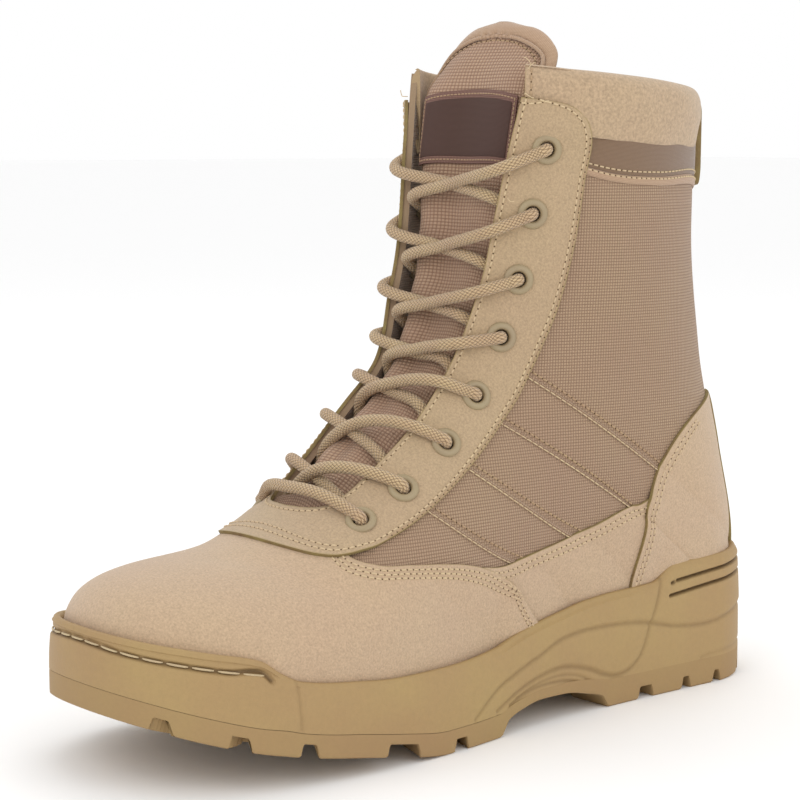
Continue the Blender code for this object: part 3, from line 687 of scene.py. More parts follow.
# %% Weave
weave, inp, outp = new_group(
    "weave",
    [("Vector", VECTOR, None), ("Threads", NUMBER, 900.0), ("Roundness", NUMBER, 0.45)],
    [("Height", NUMBER), ("Over", NUMBER)],
)
spread = put(weave, "ShaderNodeVectorMath", {0: inp["Vector"]}, operation="SCALE")
weave.links.new(inp["Threads"], spread.inputs["Scale"])
axes = put(weave, "ShaderNodeSeparateXYZ", {"Vector": spread.outputs["Vector"]}).outputs
bump = {}
cell = {}
for axis in ("X", "Y"):
    inside_cell = maths(weave, "FRACT", axes[axis])
    cell[axis] = maths(weave, "FLOOR", axes[axis])
    bump[axis] = maths(weave, "SINE", maths(weave, "MULTIPLY", inside_cell, math.pi))
parity = maths(weave, "PINGPONG", maths(weave, "ADD", cell["X"], cell["Y"]), 1.0)
long_way = maths(weave, "MULTIPLY", bump["X"], maths(weave, "POWER", bump["Y"], inp["Roundness"]))
cross_way = maths(weave, "MULTIPLY", bump["Y"], maths(weave, "POWER", bump["X"], inp["Roundness"]))
threads = put(weave, "ShaderNodeMix", {0: parity, 2: long_way, 3: cross_way}, data_type="FLOAT")
weave.links.new(threads.outputs[0], outp["Height"])
weave.links.new(parity, outp["Over"])

# %% Worn cut
worn_cut, inp, outp = new_group(
    "worn cut",
    [("Colour", COLOUR, None), ("Cut colour", COLOUR, None), ("Width", NUMBER, 1.2)],
    [("Colour", COLOUR), ("Mask", NUMBER)],
)
edge_at = put(worn_cut, "ShaderNodeAttribute", attribute_name="edge").outputs["Fac"]
ragged = maths(worn_cut, "MULTIPLY_ADD", noise(worn_cut, place_of(worn_cut), 260.0, 3.0), 1.4, 0.3)
near = maths(worn_cut, "DIVIDE", edge_at, maths(worn_cut, "MULTIPLY", inp["Width"], ragged))
mask = ranged(worn_cut, near, 0.3, 1.0, 1.0, 0.0)
worn_cut.links.new(mixed(worn_cut, mask, inp["Colour"], inp["Cut colour"]), outp["Colour"])
worn_cut.links.new(mask, outp["Mask"])
print("node groups:", [g.name for g in bpy.data.node_groups])

# %% [markdown]
# ## Suede
#
# Suede is matte and scatters light at its edges, which is what sheen is for. The sheen is the same all
# over, so it is set on the shader itself. One function makes it in three shades: the sandier pieces of
# the facings and collar and the pinker ones of the vamp, the foxing and the heel.


# %% Suede
def suede(name, colour, cut_colour, grain=1350.0, contrast=0.18):
    """Brushed leather with fine specks; cut_colour shows in a thin line along its cut edges."""
    made, tree, shader = new_material(name, 0.95, 0.2, 0.25, 0.6)
    ground = use_group(tree, mottle, {"Colour": colour, "Size": 24.0, "Amount": 0.022, "Warmth": 0.015})
    fibre = use_group(tree, nap, {"Grain": grain, "Dents": 0.2})
    speck = ranged(tree, fibre["Shade"], 0.3, 0.7, 1.0 - contrast, 1.0 + contrast)
    tone = put(tree, "ShaderNodeHueSaturation", {"Value": speck, "Color": ground["Colour"]})
    colours = {"Colour": tone.outputs["Color"], "Cut colour": cut_colour, "Width": 0.5}
    cut = use_group(tree, worn_cut, colours)
    tree.links.new(ranged(tree, ground["Mask"], 0.3, 0.7, 0.88, 1.0), shader["Roughness"])
    surface(tree, shader, cut["Colour"], fibre["Height"], 0.55, 0.0005)
    return made


vamp_suede = suede("vamp_suede", srgb(184, 158, 129), srgb(167, 143, 108))
facing_suede = suede("facing_suede", srgb(174, 150, 119), srgb(153, 133, 91))
collar_suede = suede("collar_suede", srgb(176, 151, 122), srgb(167, 143, 110), 950.0, 0.23)


# %% Raw cut edge
def cut_edge(name, colour):
    """The bare split leather that shows on the thickness of a cut piece."""
    made, tree, shader = new_material(name, 0.9)
    ground = use_group(tree, mottle, {"Colour": colour, "Size": 160.0, "Amount": 0.3, "Warmth": 0.08})
    fibre = use_group(tree, nap, {"Grain": 1500.0, "Dents": 0.2})
    surface(tree, shader, ground["Colour"], fibre["Height"], 0.8, 0.0004)
    return made


raw_edge = cut_edge("raw_edge", srgb(136, 117, 75))
print("suedes:", vamp_suede.name, facing_suede.name, collar_suede.name)

# %% [markdown]
# ## Woven finishes
#
# The quarter and the tongue are heavy nylon with a clear basket weave of about a millimetre. The weave
# follows each piece's own UV map, so it bends with the piece. Nylon thread is smooth, so it has a soft
# gloss on top of each thread, and the gaps between the threads are coloured darker as painted shade.


# %% Nylon, satin and lining
def woven(name, colour, gap, per_metre, depth, roughness=0.6, sheen=0.15):
    """Threads of one colour over gaps in a darker colour of painted shade, so many to a metre; the bump's
    depth is in metres.
    """
    made, tree, shader = new_material(name, roughness, 0.35, sheen)
    chart = tree.nodes.new("ShaderNodeUVMap").outputs["UV"]
    cloth = use_group(tree, weave, {"Vector": chart, "Threads": per_metre, "Roundness": 0.7})
    ground = use_group(tree, mottle, {"Colour": colour, "Size": 22.0, "Amount": 0.07, "Warmth": 0.03})
    top = ranged(tree, cloth["Height"], 0.05, 0.75)
    over = mixed(tree, maths(tree, "MULTIPLY", cloth["Over"], 0.08), ground["Colour"], gap)
    gap_roughness = min(roughness + 0.25, 1.0)
    tree.links.new(ranged(tree, top, 0.0, 1.0, gap_roughness, roughness), shader["Roughness"])
    # the gap colour is painted shade in the low places between the threads
    surface(tree, shader, mixed(tree, top, gap, over), cloth["Height"], 0.8, depth)
    return made


quarter_nylon = woven("quarter_nylon", srgb(173, 144, 117), srgb(133, 107, 84), 930.0, 0.00035)
tongue_nylon = woven("tongue_nylon", srgb(180, 148, 123), srgb(138, 106, 84), 800.0, 0.0004)
band_satin = woven("band_satin", srgb(134, 106, 80), srgb(105, 81, 59), 2200.0, 0.0001, 0.42, 0.3)
label_satin = woven("label_satin", srgb(86, 59, 50), srgb(57, 37, 31), 2400.0, 0.0001, 0.6, 0.03)
label_border = woven("label_border", srgb(134, 100, 88), srgb(96, 66, 58), 1500.0, 0.0002, 0.6, 0.05)
roll_cloth = woven("roll_cloth", srgb(187, 157, 129), srgb(154, 124, 98), 1900.0, 0.0001, 0.7, 0.3)
gusset_cloth = woven("gusset_cloth", srgb(168, 138, 114), srgb(126, 98, 78), 800.0, 0.0003, 0.7, 0.05)
# lining_cloth is the lining's own tan, made a little darker as painted shade for the shadowed inside of the
# boot
lining_cloth = woven("lining_cloth", srgb(170, 146, 122), srgb(128, 106, 86), 1100.0, 0.0003, 0.85, 0.4)


# %% Lace, thread and needle hole
def braided(name, colour, gap, depth):
    """A braid is a weave on a slanted map; the tube's own map is already slanted both ways."""
    made, tree, shader = new_material(name, 0.7, 0.3, 0.25)
    chart = tree.nodes.new("ShaderNodeUVMap").outputs["UV"]
    cords = use_group(tree, weave, {"Vector": chart, "Threads": 1.0, "Roundness": 0.3})
    ground = use_group(tree, mottle, {"Colour": colour, "Size": 60.0, "Amount": 0.12, "Warmth": 0.04})
    top = ranged(tree, cords["Height"], 0.0, 0.6)
    # the gap colour is painted shade in the low places between the braid's cords
    surface(tree, shader, mixed(tree, top, gap, ground["Colour"]), cords["Height"], 0.9, depth)
    return made


lace_braid = braided("lace_braid", srgb(200, 172, 134), srgb(132, 100, 68), 0.0005)


def plain_grained(name, colour, roughness, grain, depth, amount=0.08, size=30.0, level=0.4):
    """A fine-grained finish with a mottled colour: rubber, thread, paint and the like."""
    made, tree, shader = new_material(name, roughness, level)
    ground = use_group(tree, mottle, {"Colour": colour, "Size": size, "Amount": amount, "Warmth": 0.03})
    fibre = use_group(tree, nap, {"Grain": grain, "Dents": 0.6})
    uneven = ranged(tree, ground["Mask"], 0.3, 0.7, roughness - 0.07, roughness + 0.07)
    tree.links.new(uneven, shader["Roughness"])
    surface(tree, shader, ground["Colour"], fibre["Height"], 0.5, depth)
    return made


thread = plain_grained("thread", srgb(200, 177, 142), 0.6, 2500.0, 0.0002, 0.12)
dark_thread = plain_grained("dark_thread", srgb(172, 144, 112), 0.6, 2500.0, 0.0002, 0.12)
welt_thread = plain_grained("welt_thread", srgb(190, 170, 134), 0.6, 2500.0, 0.0002, 0.12)
# the needle hole finish is painted shade: a dark colour on small discs that stand for the shaded holes
needle_hole_shade = plain_grained("needle_hole_shade", srgb(92, 72, 48), 0.95, 1500.0, 0.0002, 0.1)
eyelet_paint = plain_grained("eyelet_paint", srgb(154, 137, 106), 0.42, 700.0, 0.00005, 0.10, 90.0, 0.5)
# the quarter's cut rim: the lining's own colour, darkened with painted shade for the shadow it lies in beside
# the inner facing
shaded_lining_edge = plain_grained("shaded_lining_edge", srgb(150, 127, 102), 0.9, 1100.0, 0.0003, 0.1)


def paint_groove_shade(made, deep):
    """Paints shade into a finish's colour in its moulded grooves: the piece's own "groove" value says where.
    """
    tree = made.node_tree
    colour = tree.nodes["Principled BSDF"].inputs["Base Color"]
    mark = put(tree, "ShaderNodeAttribute", attribute_name="groove").outputs["Fac"]
    tree.links.new(mixed(tree, mark, colour.links[0].from_socket, deep), colour)


sole_rubber = plain_grained("sole_rubber", srgb(163, 135, 92), 0.62, 1000.0, 0.0003, 0.09, 22.0, 0.35)
# painted shade: the sole's grooves and slots are coloured dark brown where they lie in shadow
paint_groove_shade(sole_rubber, srgb(84, 62, 34))
tread_rubber = plain_grained("tread_rubber", srgb(157, 129, 89), 0.68, 1200.0, 0.00015, 0.07, 24.0, 0.3)
floor_paper = plain_grained("floor_paper", (0.97, 0.97, 0.97, 1.0), 0.9, 300.0, 0.00002, 0.002, 2.0, 0.1)
floor.data.materials.append(floor_paper)
print("materials:", len(bpy.data.materials))

# %% [markdown]
# ## How far the pieces stand off the last
#
# The nylon quarter is the ground that the suede lies on. `skin` gives its height over the last: a little
# under it beneath the facings and at the front, level with it on the shaft. Where the quarter is
# quilted, the padding rises softly between the stitched lines. The inner facing isn't pulled as tight
# as the outer one, so it springs away from the tongue along the throat.

# %% The quarter's height over the last
SUEDE = 1.25  # thickness of the suede
QUILT = table(
    "line front back  end",
    (0, 8.66, 8.77, 124.0),
    (1, 7.68, 7.95, 119.0),
    (2, 6.77, 7.20, 104.0),
    (3, 5.82, 6.52, 90.0),
)
QUILT_START = 46.0  # the quilted lines start under the facing's back edge
QUILT_RISE = 0.9
SPRING = table(
    "u     out",
    (4.6, 0.0),
    (5.6, 1.6),
    (6.8, 3.4),
    (8.0, 2.0),
    (9.3, 3.6),
    (10.6, 2.6),
    (12.0, 2.0),
    (13.0, 1.2),
)


def scaled(u, arc):
    """A place in the outer side's measure: the inner side's shorter arcs are stretched."""
    inner = np.abs(arc) * reach_of(u, 1) / reach_of(u, -1)
    return np.where(np.asarray(arc) < 0, inner, arc)


def quilt_line(k, arc):
    """Section at which a quilted line crosses a distance round the last."""
    run = (arc - QUILT_START) / (QUILT["end"][k] - QUILT_START)
    return QUILT["front"][k] + (QUILT["back"][k] - QUILT["front"][k]) * np.clip(run, -0.1, 1.2)


def quilt_rise(u, arc):
    """How far the padding stands up: a round pillow between each two quilted lines."""
    lines = [quilt_line(k, arc) for k in range(len(QUILT["line"]))]
    lines = [lines[0] + 1.0, *lines, lines[-1] - 0.9]
    rise = np.zeros(np.broadcast(u, arc).shape)
    for high, low in zip(lines, lines[1:]):
        share = np.clip((u - low) / (high - low), 0, 1)
        rise = np.maximum(rise, np.sin(math.pi * share) ** 0.7)
    rise = np.where(u > lines[1] + 0.5, 1.0, rise)
    fade = soft((arc - QUILT_START + 4.0) / 12.0)
    return (rise - 0.6) * fade * QUILT_RISE * soft((u - 4.8) / 0.6) * soft((10.4 - u) / 1.4)


def skin(u, arc):
    """The quarter's height over the last."""
    away = scaled(u, arc)
    level = -0.8 + 0.8 * soft((away - 58.0) / 30.0) * soft((u - 7.0) / 1.5)
    edge = ease(THROAT, "edge", u)
    spring = ease(SPRING, "out", u) * soft(1.0 - (np.abs(arc) - edge) / 24.0) * (np.asarray(arc) < 0)
    return level + quilt_rise(u, away) + spring


# %% [markdown]
# ## Punching the eyelet holes
#
# The maker punches the facings and the wall behind them before the eyelets are set. On a flat grid that
# is done before it has a thickness: faces near an eyelet's middle are selected by place and deleted, the
# hole's edge is drawn onto a true circle, and Solidify then makes the hole's wall.

# %% Punch
EYELET_ROWS = (12.0, 11.1, 10.05, 8.95, 7.8, 6.8, 5.7, 4.8)
EYELET_INSET = 13.0  # from the facing's throat edge
HOLE_RADIUS = 3.35


def throat_edge(u):
    return float(ease(THROAT, "edge", u))


def punch(obj):
    """Cuts a round hole through a thin piece at each eyelet."""
    mesh = obj.data
    points = np.array([v.co[:] for v in mesh.vertices]) / MM
    edges = np.array([e.vertices[:] for e in mesh.edges])
    gone = np.zeros(len(points), dtype=bool)
    for row_u in EYELET_ROWS:
        for side in (-1, 1):
            arc = side * (throat_edge(row_u) + EYELET_INSET)
            middle, away = (value[0] for value in on_last([row_u], [arc]))
            rise = (points - middle) @ away
            flat = points - middle - rise[:, None] * away
            reach = np.linalg.norm(flat, axis=1)
            hole = (reach < HOLE_RADIUS) & (np.abs(rise) < 10.0)
            for a, b in (edges.T, edges.T[::-1]):
                rim = np.unique(b[hole[a] & ~hole[b]])
                points[rim] += flat[rim] * (HOLE_RADIUS / reach[rim] - 1.0)[:, None]
            gone |= hole
    mesh.vertices.foreach_set("co", (points * MM).ravel())
    only(obj)
    bpy.ops.object.mode_set(mode="EDIT")
    bpy.ops.mesh.select_mode(type="VERT")
    bpy.ops.mesh.select_all(action="DESELECT")
    bpy.ops.object.mode_set(mode="OBJECT")
    mesh.vertices.foreach_set("select", gone)
    bpy.ops.object.mode_set(mode="EDIT")
    bpy.ops.mesh.delete(type="VERT")
    bpy.ops.object.mode_set(mode="OBJECT")
    print("punched", obj.name, "and took away", int(gone.sum()), "points")


print("the inner facing springs out by up to", max(SPRING["out"]), "mm")

# %% [markdown]
# ## Nylon quarter
#
# The quarter is the boot's own wall: nylon outside, foam between and a soft lining inside. It could be
# one wrap, but the maker cuts it in two halves sewn up the back, and two grids pulled from the throat
# to the back seam do the same. Solidify gives the wall, with the lining on the inner face.

# %% Quarter
QUARTER_LOW_U = 4.25
QUARTER_TOP_U = COLLAR_U - 0.05
QUARTER_WALL = 2.3


def quarter_place(side, w, v):
    u = QUARTER_LOW_U + (QUARTER_TOP_U - QUARTER_LOW_U) * w
    start = np.maximum(ease(THROAT, "edge", u), 13.0) + 0.6
    stop = np.where(u < HEEL_POINT_U, sole_edge(u, side) + 1.0, reach_of(u, side))
    return u, side * (start + (stop - start) * v)


def quarter_shape(side):
    """The wall lies a little lower under the padded collar."""

    def shape(w, v):
        u, arc = quarter_place(side, w, v)
        under_collar = 1.6 * soft((u - 12.2) / 0.3) * soft((scaled(u, arc) - 50.0) / 12.0)
        return on_last(u, arc, skin(u, arc) - under_collar)[0]

    return shape


def quarter_chart(side):
    """The weave's map: distance round the boot on a level, and height."""

    def mapped(w, v):
        u, arc = quarter_place(side, w, v)
        return np.stack([read_net(plan, u, arc), read_net(net, u, arc)[..., 2]], axis=-1) * MM

    return mapped


halves = []
for side, label in SIDES:
    half = pulled("quarter_" + label, 170, 66, quarter_shape(side), quarter_chart(side), INSIDE)
    clad(half, quarter_nylon, lining_cloth, shaded_lining_edge)
    halves.append(half)
quarter = joined("quarter", *halves)
weld(quarter, 0.0002)
punch(quarter)
thicken(quarter, QUARTER_WALL, inner=1, rim=2)
done(quarter, "nylon", "upper")

# %% [markdown]
# ## Vamp lining
#
# Under the vamp a thin lining closes the toe. It is seen only by looking down the shaft, so a plain
# pulled grid is enough: it narrows to the toe as the sections do.


# %% Vamp lining
def toe_lining_shape(w, v):
    """Rows run across the foot, from one side's sole edge over the top to the other's."""
    u = 0.02 + 4.7 * w**1.6
    side = np.where(v >= 0.5, 1, -1)
    return on_last(u, side * np.abs(2 * v - 1) * (sole_edge(u, side) + 0.5), -0.9)[0]


TOE_INSIDE = (0.0, -180.0, 45.0)
toe_lining = pulled("vamp_lining", 50, 60, toe_lining_shape, None, TOE_INSIDE)
clad(toe_lining, gusset_cloth)
weld(toe_lining, 0.00002)
thicken(toe_lining, 1.3)
done(toe_lining, "lining")

# %% [markdown]
# ## Vamp
#
# The vamp covers the toe and runs back on both sides as a rounded wing. Its bottom line is the sole's
# edge right round the toe, and its top line goes from one wing's rear edge, up under the facings, and
# down to the other's. A grid between the two lines has its rows running from the sole up, as the
# leather is pulled. A few soft troughs show where the foot has flexed it a little.

# %% Vamp
VAMP_TOP = smooth_line(
    [
        (4.32, 0.0),
        (4.34, 14.0),
        (4.30, 27.0),
        (4.26, 38.5),
        (4.52, 46.9),
        (4.98, 54.2),
        (5.41, 61.0),
        (5.80, 69.0),
        (6.05, 77.0),
        (6.18, 84.5),
        (6.24, 91.0),
    ]
)
VAMP_REAR_U = 6.29
DENTS = table(
    "u    arc   long wide turn  depth",
    (3.35, 30.0, 34.0, 6.0, 0.5, 0.45),
    (3.75, 48.0, 26.0, 5.0, 0.9, 0.40),
    (2.50, 55.0, 22.0, 8.0, 0.2, 0.35),
    (3.60, -32.0, 34.0, 6.0, -0.5, 0.45),
    (1.70, 22.0, 24.0, 9.0, 0.0, 0.30),
    (5.20, 84.0, 20.0, 6.0, 1.1, 0.35),
)


VAMP_MM_PER_U = 22.0


def dented(u, arc):
    """Soft troughs: each is long, narrow and turned, and dies away all round."""
    total = np.zeros(np.shape(u))
    for at_u, at_arc, long, wide, turn, depth in zip(*DENTS.values()):
        du = (u - at_u) * VAMP_MM_PER_U
        da = arc - at_arc
        a = (du * math.sin(turn) + da * math.cos(turn)) / long
        b = (du * math.cos(turn) - da * math.sin(turn)) / wide
        total = total + depth * np.exp(-(a**2) - b**2)
    return total


def vamp_lines(w, v):
    """Section and distance for each place of the vamp; w runs from the inner wing round to the outer."""
    signed = 2.0 * w - 1.0
    side = np.where(signed >= 0, 1, -1)
    k = np.abs(signed)
    low_u = VAMP_REAR_U * k**1.8
    low_arc = sole_edge(low_u, side) + 1.2 * soft(k * 20)
    top = VAMP_TOP(k)
    u = low_u + (top[..., 0] - low_u) * v
    arc = low_arc + (top[..., 1] * side_share(top[..., 0], side) - low_arc) * v
    return u, side * arc


def vamp_spot(w, v):
    """The wings lie over the side foxing, so they rise by its thickness at their rear."""
    u, arc = vamp_lines(w, v)
    over_foxing = 1.45 * soft((np.abs(2 * w - 1) - 0.92) / 0.06)
    return on_last(u, arc, skin(u, arc) + SUEDE + over_foxing - dented(u, arc))


vamp = laid("vamp", 260, 70, vamp_spot, vamp_suede, raw_edge)
weld(vamp, 0.00002)
thicken(vamp, SUEDE, 0.35, rim=1)
done(vamp, "suede")

# %% [markdown]
# ## Side foxing
#
# The foxing is a long low piece between the wing and the heel counter. It goes under both, so its ends
# run a few millimetres past their edges, and only its top edge shows as a cut.

# %% Foxing
FOXING_TOP = smooth_line(
    [
        (5.98, 74.0),
        (6.20, 79.8),
        (6.72, 89.4),
        (7.10, 97.5),
        (7.44, 105.8),
        (7.85, 114.0),
        (8.28, 122.0),
        (8.42, 125.0),
    ]
)
FOXING_LOW_U = (5.98, 7.55)


def foxing_spot(side):
    def spot(w, v):
        low_u = FOXING_LOW_U[0] + (FOXING_LOW_U[1] - FOXING_LOW_U[0]) * w
        low_arc = sole_edge(low_u, side) + 1.0
        top = FOXING_TOP(w)
        u = low_u + (top[..., 0] - low_u) * v
        arc = low_arc + (top[..., 1] * side_share(top[..., 0], side) - low_arc) * v
        return on_last(u, side * arc, skin(u, side * arc) + SUEDE - 0.1)

    return spot


foxings = {side: foxing_spot(side) for side, _ in SIDES}
for side, label in SIDES:
    foxing = laid("foxing_" + label, 90, 34, foxings[side], vamp_suede, raw_edge)
    thicken(foxing, SUEDE, 0.3, rim=1)
    done(foxing, "suede")

# %% [markdown]
# ## Heel counter
#
# The counter wraps the heel. Its front edge drops straight to the sole over the foxing, and higher up
# it sweeps back to a point on the back seam. Each half is a grid whose rows are the last's own
# sections; the two meet at the seam, which a narrow strip then covers.

# %% Heel counter
COUNTER = table(
    "u    arc",
    (7.05, 143.5),
    (7.21, 139.1),
    (7.40, 133.2),
    (7.62, 128.5),
    (7.95, 124.2),
    (8.26, 121.9),
    (8.55, 121.9),
    (8.84, 123.3),
    (9.15, 125.6),
    (9.48, 129.4),
    (9.80, 135.5),
    (10.05, 143.0),
    (10.25, 151.0),
    (10.36, 156.5),
)
COUNTER_LOW_U = 7.08
COUNTER_TOP_U = 10.36


def counter_spot(side):
    def spot(w, v):
        u = COUNTER_LOW_U + (COUNTER_TOP_U - COUNTER_LOW_U) * w
        stop = np.where(u < HEEL_POINT_U, sole_edge(u, side) + 1.5, reach_of(u, side))
        start = np.minimum(ease(COUNTER, "arc", u) * side_share(u, side), stop - 0.2)
        arc = start + (stop - start) * v
        over_foxing = 1.1 * soft((8.5 - u) / 0.25) * soft(1.0 - (arc - start) / 16.0)
        return on_last(u, side * arc, skin(u, side * arc) + SUEDE + 0.1 + over_foxing)

    return spot


counters = {side: counter_spot(side) for side, _ in SIDES}
halves = [laid("counter_" + label, 90, 34, counters[side], vamp_suede, raw_edge) for side, label in SIDES]
counter = joined("heel_counter", *halves)
weld(counter, 0.0001)
thicken(counter, SUEDE, 0.3, rim=1)
done(counter, "suede")

# %% [markdown]
# ## Facings
#
# The two facings and the strip that joins them below the tongue are one long U of suede. Its inner line
# is the throat and its outer line has rounded top corners, so a grid between the two lines, running
# from one top corner to the other, follows it all the way. The front of the U lies over the vamp, and
# its thick raw cut shows there as a dark olive line.

# %% Facings
FACING_OUTER = [
    (12.57, 43.0),
    (12.57, 49.0),
    (12.53, 54.5),
    (12.42, 59.0),
    (12.20, 61.2),
    (11.77, 60.4),
    (11.00, 59.4),
    (10.07, 57.0),
    (9.12, 53.6),
    (8.34, 50.6),
    (7.66, 48.2),
    (7.05, 46.8),
    (6.51, 46.0),
    (6.02, 45.4),
    (5.56, 44.6),
    (5.13, 43.2),
    (4.60, 40.4),
    (4.26, 37.2),
    (4.04, 34.0),
    (3.86, 29.4),
    (3.68, 20.4),
    (3.58, 9.0),
    (3.56, 0.0),
]
FACING_INNER = [
    (12.57, 35.0),
    (12.0, 32.0),
    (11.4, 29.8),
    (10.8, 28.0),
    (10.0, 26.7),
    (9.1, 25.0),
    (8.4, 23.4),
    (7.7, 22.2),
    (7.0, 21.8),
    (6.4, 21.3),
    (5.9, 20.6),
    (5.5, 20.0),
    (5.2, 19.4),
    (5.0, 18.8),
    (4.8, 17.6),
    (4.62, 14.8),
    (4.50, 10.5),
    (4.44, 5.0),
    (4.42, 0.0),
]


def both_sides(knots, same_width):
    """A line from the outer top round the front to the inner top."""
    medial = [(u, -arc * (1.0 if same_width else float(side_share(u, -1)))) for u, arc in knots[-2::-1]]
    return smooth_line(knots + medial)


def facing_lift(u, arc):
    """The front of the U lies over the vamp, and its top ends lie over the collar."""
    over_vamp = 1.15 * soft((4.75 - u) / 0.35)
    over_collar = 1.7 * soft((u - 12.0) / 0.3) * soft((np.abs(arc) - 33.0) / 6.0)
    return skin(u, arc) + SUEDE + 0.05 + over_vamp + over_collar


facing_spot = between(both_sides(FACING_INNER, True), both_sides(FACING_OUTER, False), facing_lift)
facing = laid("facing", 420, 26, facing_spot, facing_suede, raw_edge)
punch(facing)
thicken(facing, SUEDE, 0.3, rim=1)
done(facing, "suede")

# %% [markdown]
# ## Padded collar
#
# The collar is foam covered with suede: it bulges a little outside, rolls over the top and goes down
# inside. Its cross-section is a closed line, swept round the topline from one throat edge to the other,
# and thinner at the two ends, where there is no foam.

# %% Collar
COLLAR_PROFILE = table(
    "step up    out   pad",
    (0, -17.2, -0.9, 0.0),
    (1, -17.6, 0.4, 0.0),
    (2, -16.6, 1.25, 0.0),
    (3, -13.5, 1.5, 0.7),
    (4, -9.0, 1.6, 1.5),
    (5, -4.5, 1.3, 1.5),
    (6, -1.5, 0.4, 1.1),
    (7, 0.2, -1.0, 0.3),
    (8, 0.7, -2.0, -1.6),
    (9, 0.1, -2.6, -3.9),
    (10, -2.0, -2.9, -5.1),
    (11, -7.0, -3.1, -5.6),
    (12, -14.0, -3.1, -5.5),
    (13, -21.0, -2.9, -4.6),
    (14, -25.0, -2.6, -2.0),
    (15, -25.6, -2.0, -0.6),
    (16, -22.0, -1.2, 0.0),
    (17, -17.2, -0.9, 0.0),
)
COLLAR_STEPS = COLLAR_PROFILE["step"][-1]
MM_PER_U = 22.5  # near the topline one section is this far from the next
COLLAR_START = 36.0
MEASURED_AT = 12.8  # the section whose length the collar's distances are measured on
RISE_START = 52.0  # the rise to the back starts here and ends this far before the back seam
RISE_END = 33.0
TOPLINE_RISE = 3.5  # the topline and the collar's lower edge both rise to the back
LOWER_EDGE_RISE = 4.9


def collar_spot(w, v):
    """w runs round the topline from the inner throat edge to the outer one, v round the cross-section."""
    step = v * COLLAR_STEPS
    up = ease(COLLAR_PROFILE, "up", step)
    signed = 2.0 * w - 1.0
    side = np.where(signed >= 0, 1, -1)
    top = reach_of(MEASURED_AT, side)
    arc = top - (top - COLLAR_START) * np.abs(signed)
    pad = soft((arc - COLLAR_START - 6.0) / 20.0)
    backward_share = np.clip((arc - RISE_START) / (top - RISE_END - RISE_START), 0.0, 1.0)
    slope = (0.025 * (arc - COLLAR_START) + LOWER_EDGE_RISE * backward_share) * soft(-up / 16.0)
    u = COLLAR_U + (up + slope) / MM_PER_U
    arc_here = arc * reach_of(u, side) / top
    folds = 0.25 * np.sin(arc * 0.21 + 1.3) * np.sin(step * 0.9) * pad
    flat_end = -0.9 * soft((60.0 - arc) / 14.0) * (step < 7.0)  # only the outer face
    height = ease(COLLAR_PROFILE, "out", step) + ease(COLLAR_PROFILE, "pad", step) * pad + folds + flat_end
    pressed = 0.5 * soft((arc - top + 50.0) / 35.0)  # the strip at the back pulls the foam flat
    place, away = on_last(u, side * arc_here, height - pressed * np.maximum(height, 0.0))
    place[..., 2] += TOPLINE_RISE * backward_share * soft((up + 12.0) / 11.0)
    return place, away


collar = pulled("collar", 220, 68, lambda w, v: collar_spot(w, v)[0])
clad(collar, collar_suede)
closed(collar, 0.00005)
done(collar, "suede")

# %% [markdown]
# ## Satin band under the collar
#
# A woven satin tape lies under the collar with a narrow folded welt below it. Both are plain strips
# between two lines; the tape's upper edge hides under the collar and its front end under the facing.

# %% Satin band and welt
BAND_TOP = [(12.36, 56.0), (12.42, 70.0), (12.52, 94.0), (12.64, 118.0), (12.66, 1.0)]
BAND_LOW = [(11.93, 56.0), (11.96, 70.0), (12.11, 94.0), (12.27, 118.0), (12.30, 1.0)]
WELT_LOW = [(11.83, 56.0), (11.865, 70.0), (12.02, 94.0), (12.185, 118.0), (12.215, 1.0)]


def round_the_back(knots):
    """A line from one facing round the back to the other; the last knot lies on the back seam."""
    end = (knots[-1][0], float(reach_of(knots[-1][0], 1)) - 0.01)
    lateral = [*knots[:-1], end]
    return smooth_line(lateral), smooth_line([(u, arc * float(side_share(u, -1))) for u, arc in lateral])


def strip_spot(high, low, lift):
    """A strip round the back, as spot(w, v): w from the outer facing (0) to the inner one (1)."""
    lines = (round_the_back(high), round_the_back(low))

    def spot(w, v):
        k = 1.0 - np.abs(2.0 * w - 1.0)
        side = np.where(w <= 0.5, 1, -1)
        top, bottom = (np.where((side > 0)[..., None], lateral(k), medial(k)) for lateral, medial in lines)
        place = top * (1 - v)[..., None] + bottom * v[..., None]
        u, arc = place[..., 0], side * place[..., 1]
        return on_last(u, arc, skin(u, arc) + lift(v))

    return spot


band_spot = strip_spot(BAND_TOP, BAND_LOW, lambda v: 0.55 + 0.25 * np.sin(math.pi * v))
band = laid("satin_band", 140, 6, band_spot, band_satin)
thicken(band, 0.6, 0.15)
done(band, "nylon")
welt_spot = strip_spot(BAND_LOW, WELT_LOW, lambda v: 0.35 + 0.55 * np.sin(math.pi * v) ** 0.6)
welt = laid("band_welt", 140, 6, welt_spot, roll_cloth)
thicken(welt, 0.7, 0.1)
done(welt, "nylon")

# %% [markdown]
# ## Strips over the back seam
#
# A suede strip covers the seam up the heel, and a second one, folded double, goes from under the collar
# down over the band and holds them. Its raw olive edge is all that shows from the side.


# %% Back strips
STRIP_HALF_WIDTH = 22.0


def back_strip_spot(low_u, top_u, height, corner, round_low):
    """A strip down the back seam, half of it on each side, with rounded corners."""
    tall = (top_u - low_u) * MM_PER_U

    def spot(w, v):
        end_gap = tall * (np.minimum(w, 1.0 - w) if round_low else 1.0 - w)
        missing = corner - np.clip(end_gap, 0.0, corner)
        width = STRIP_HALF_WIDTH - corner + np.sqrt(corner**2 - missing**2)
        u = low_u + (top_u - low_u) * w
        signed = 2.0 * v - 1.0
        side = np.where(signed >= 0, 1, -1)
        return on_last(u, side * (reach_of(u, side) - np.abs(signed) * width), height)

    return spot


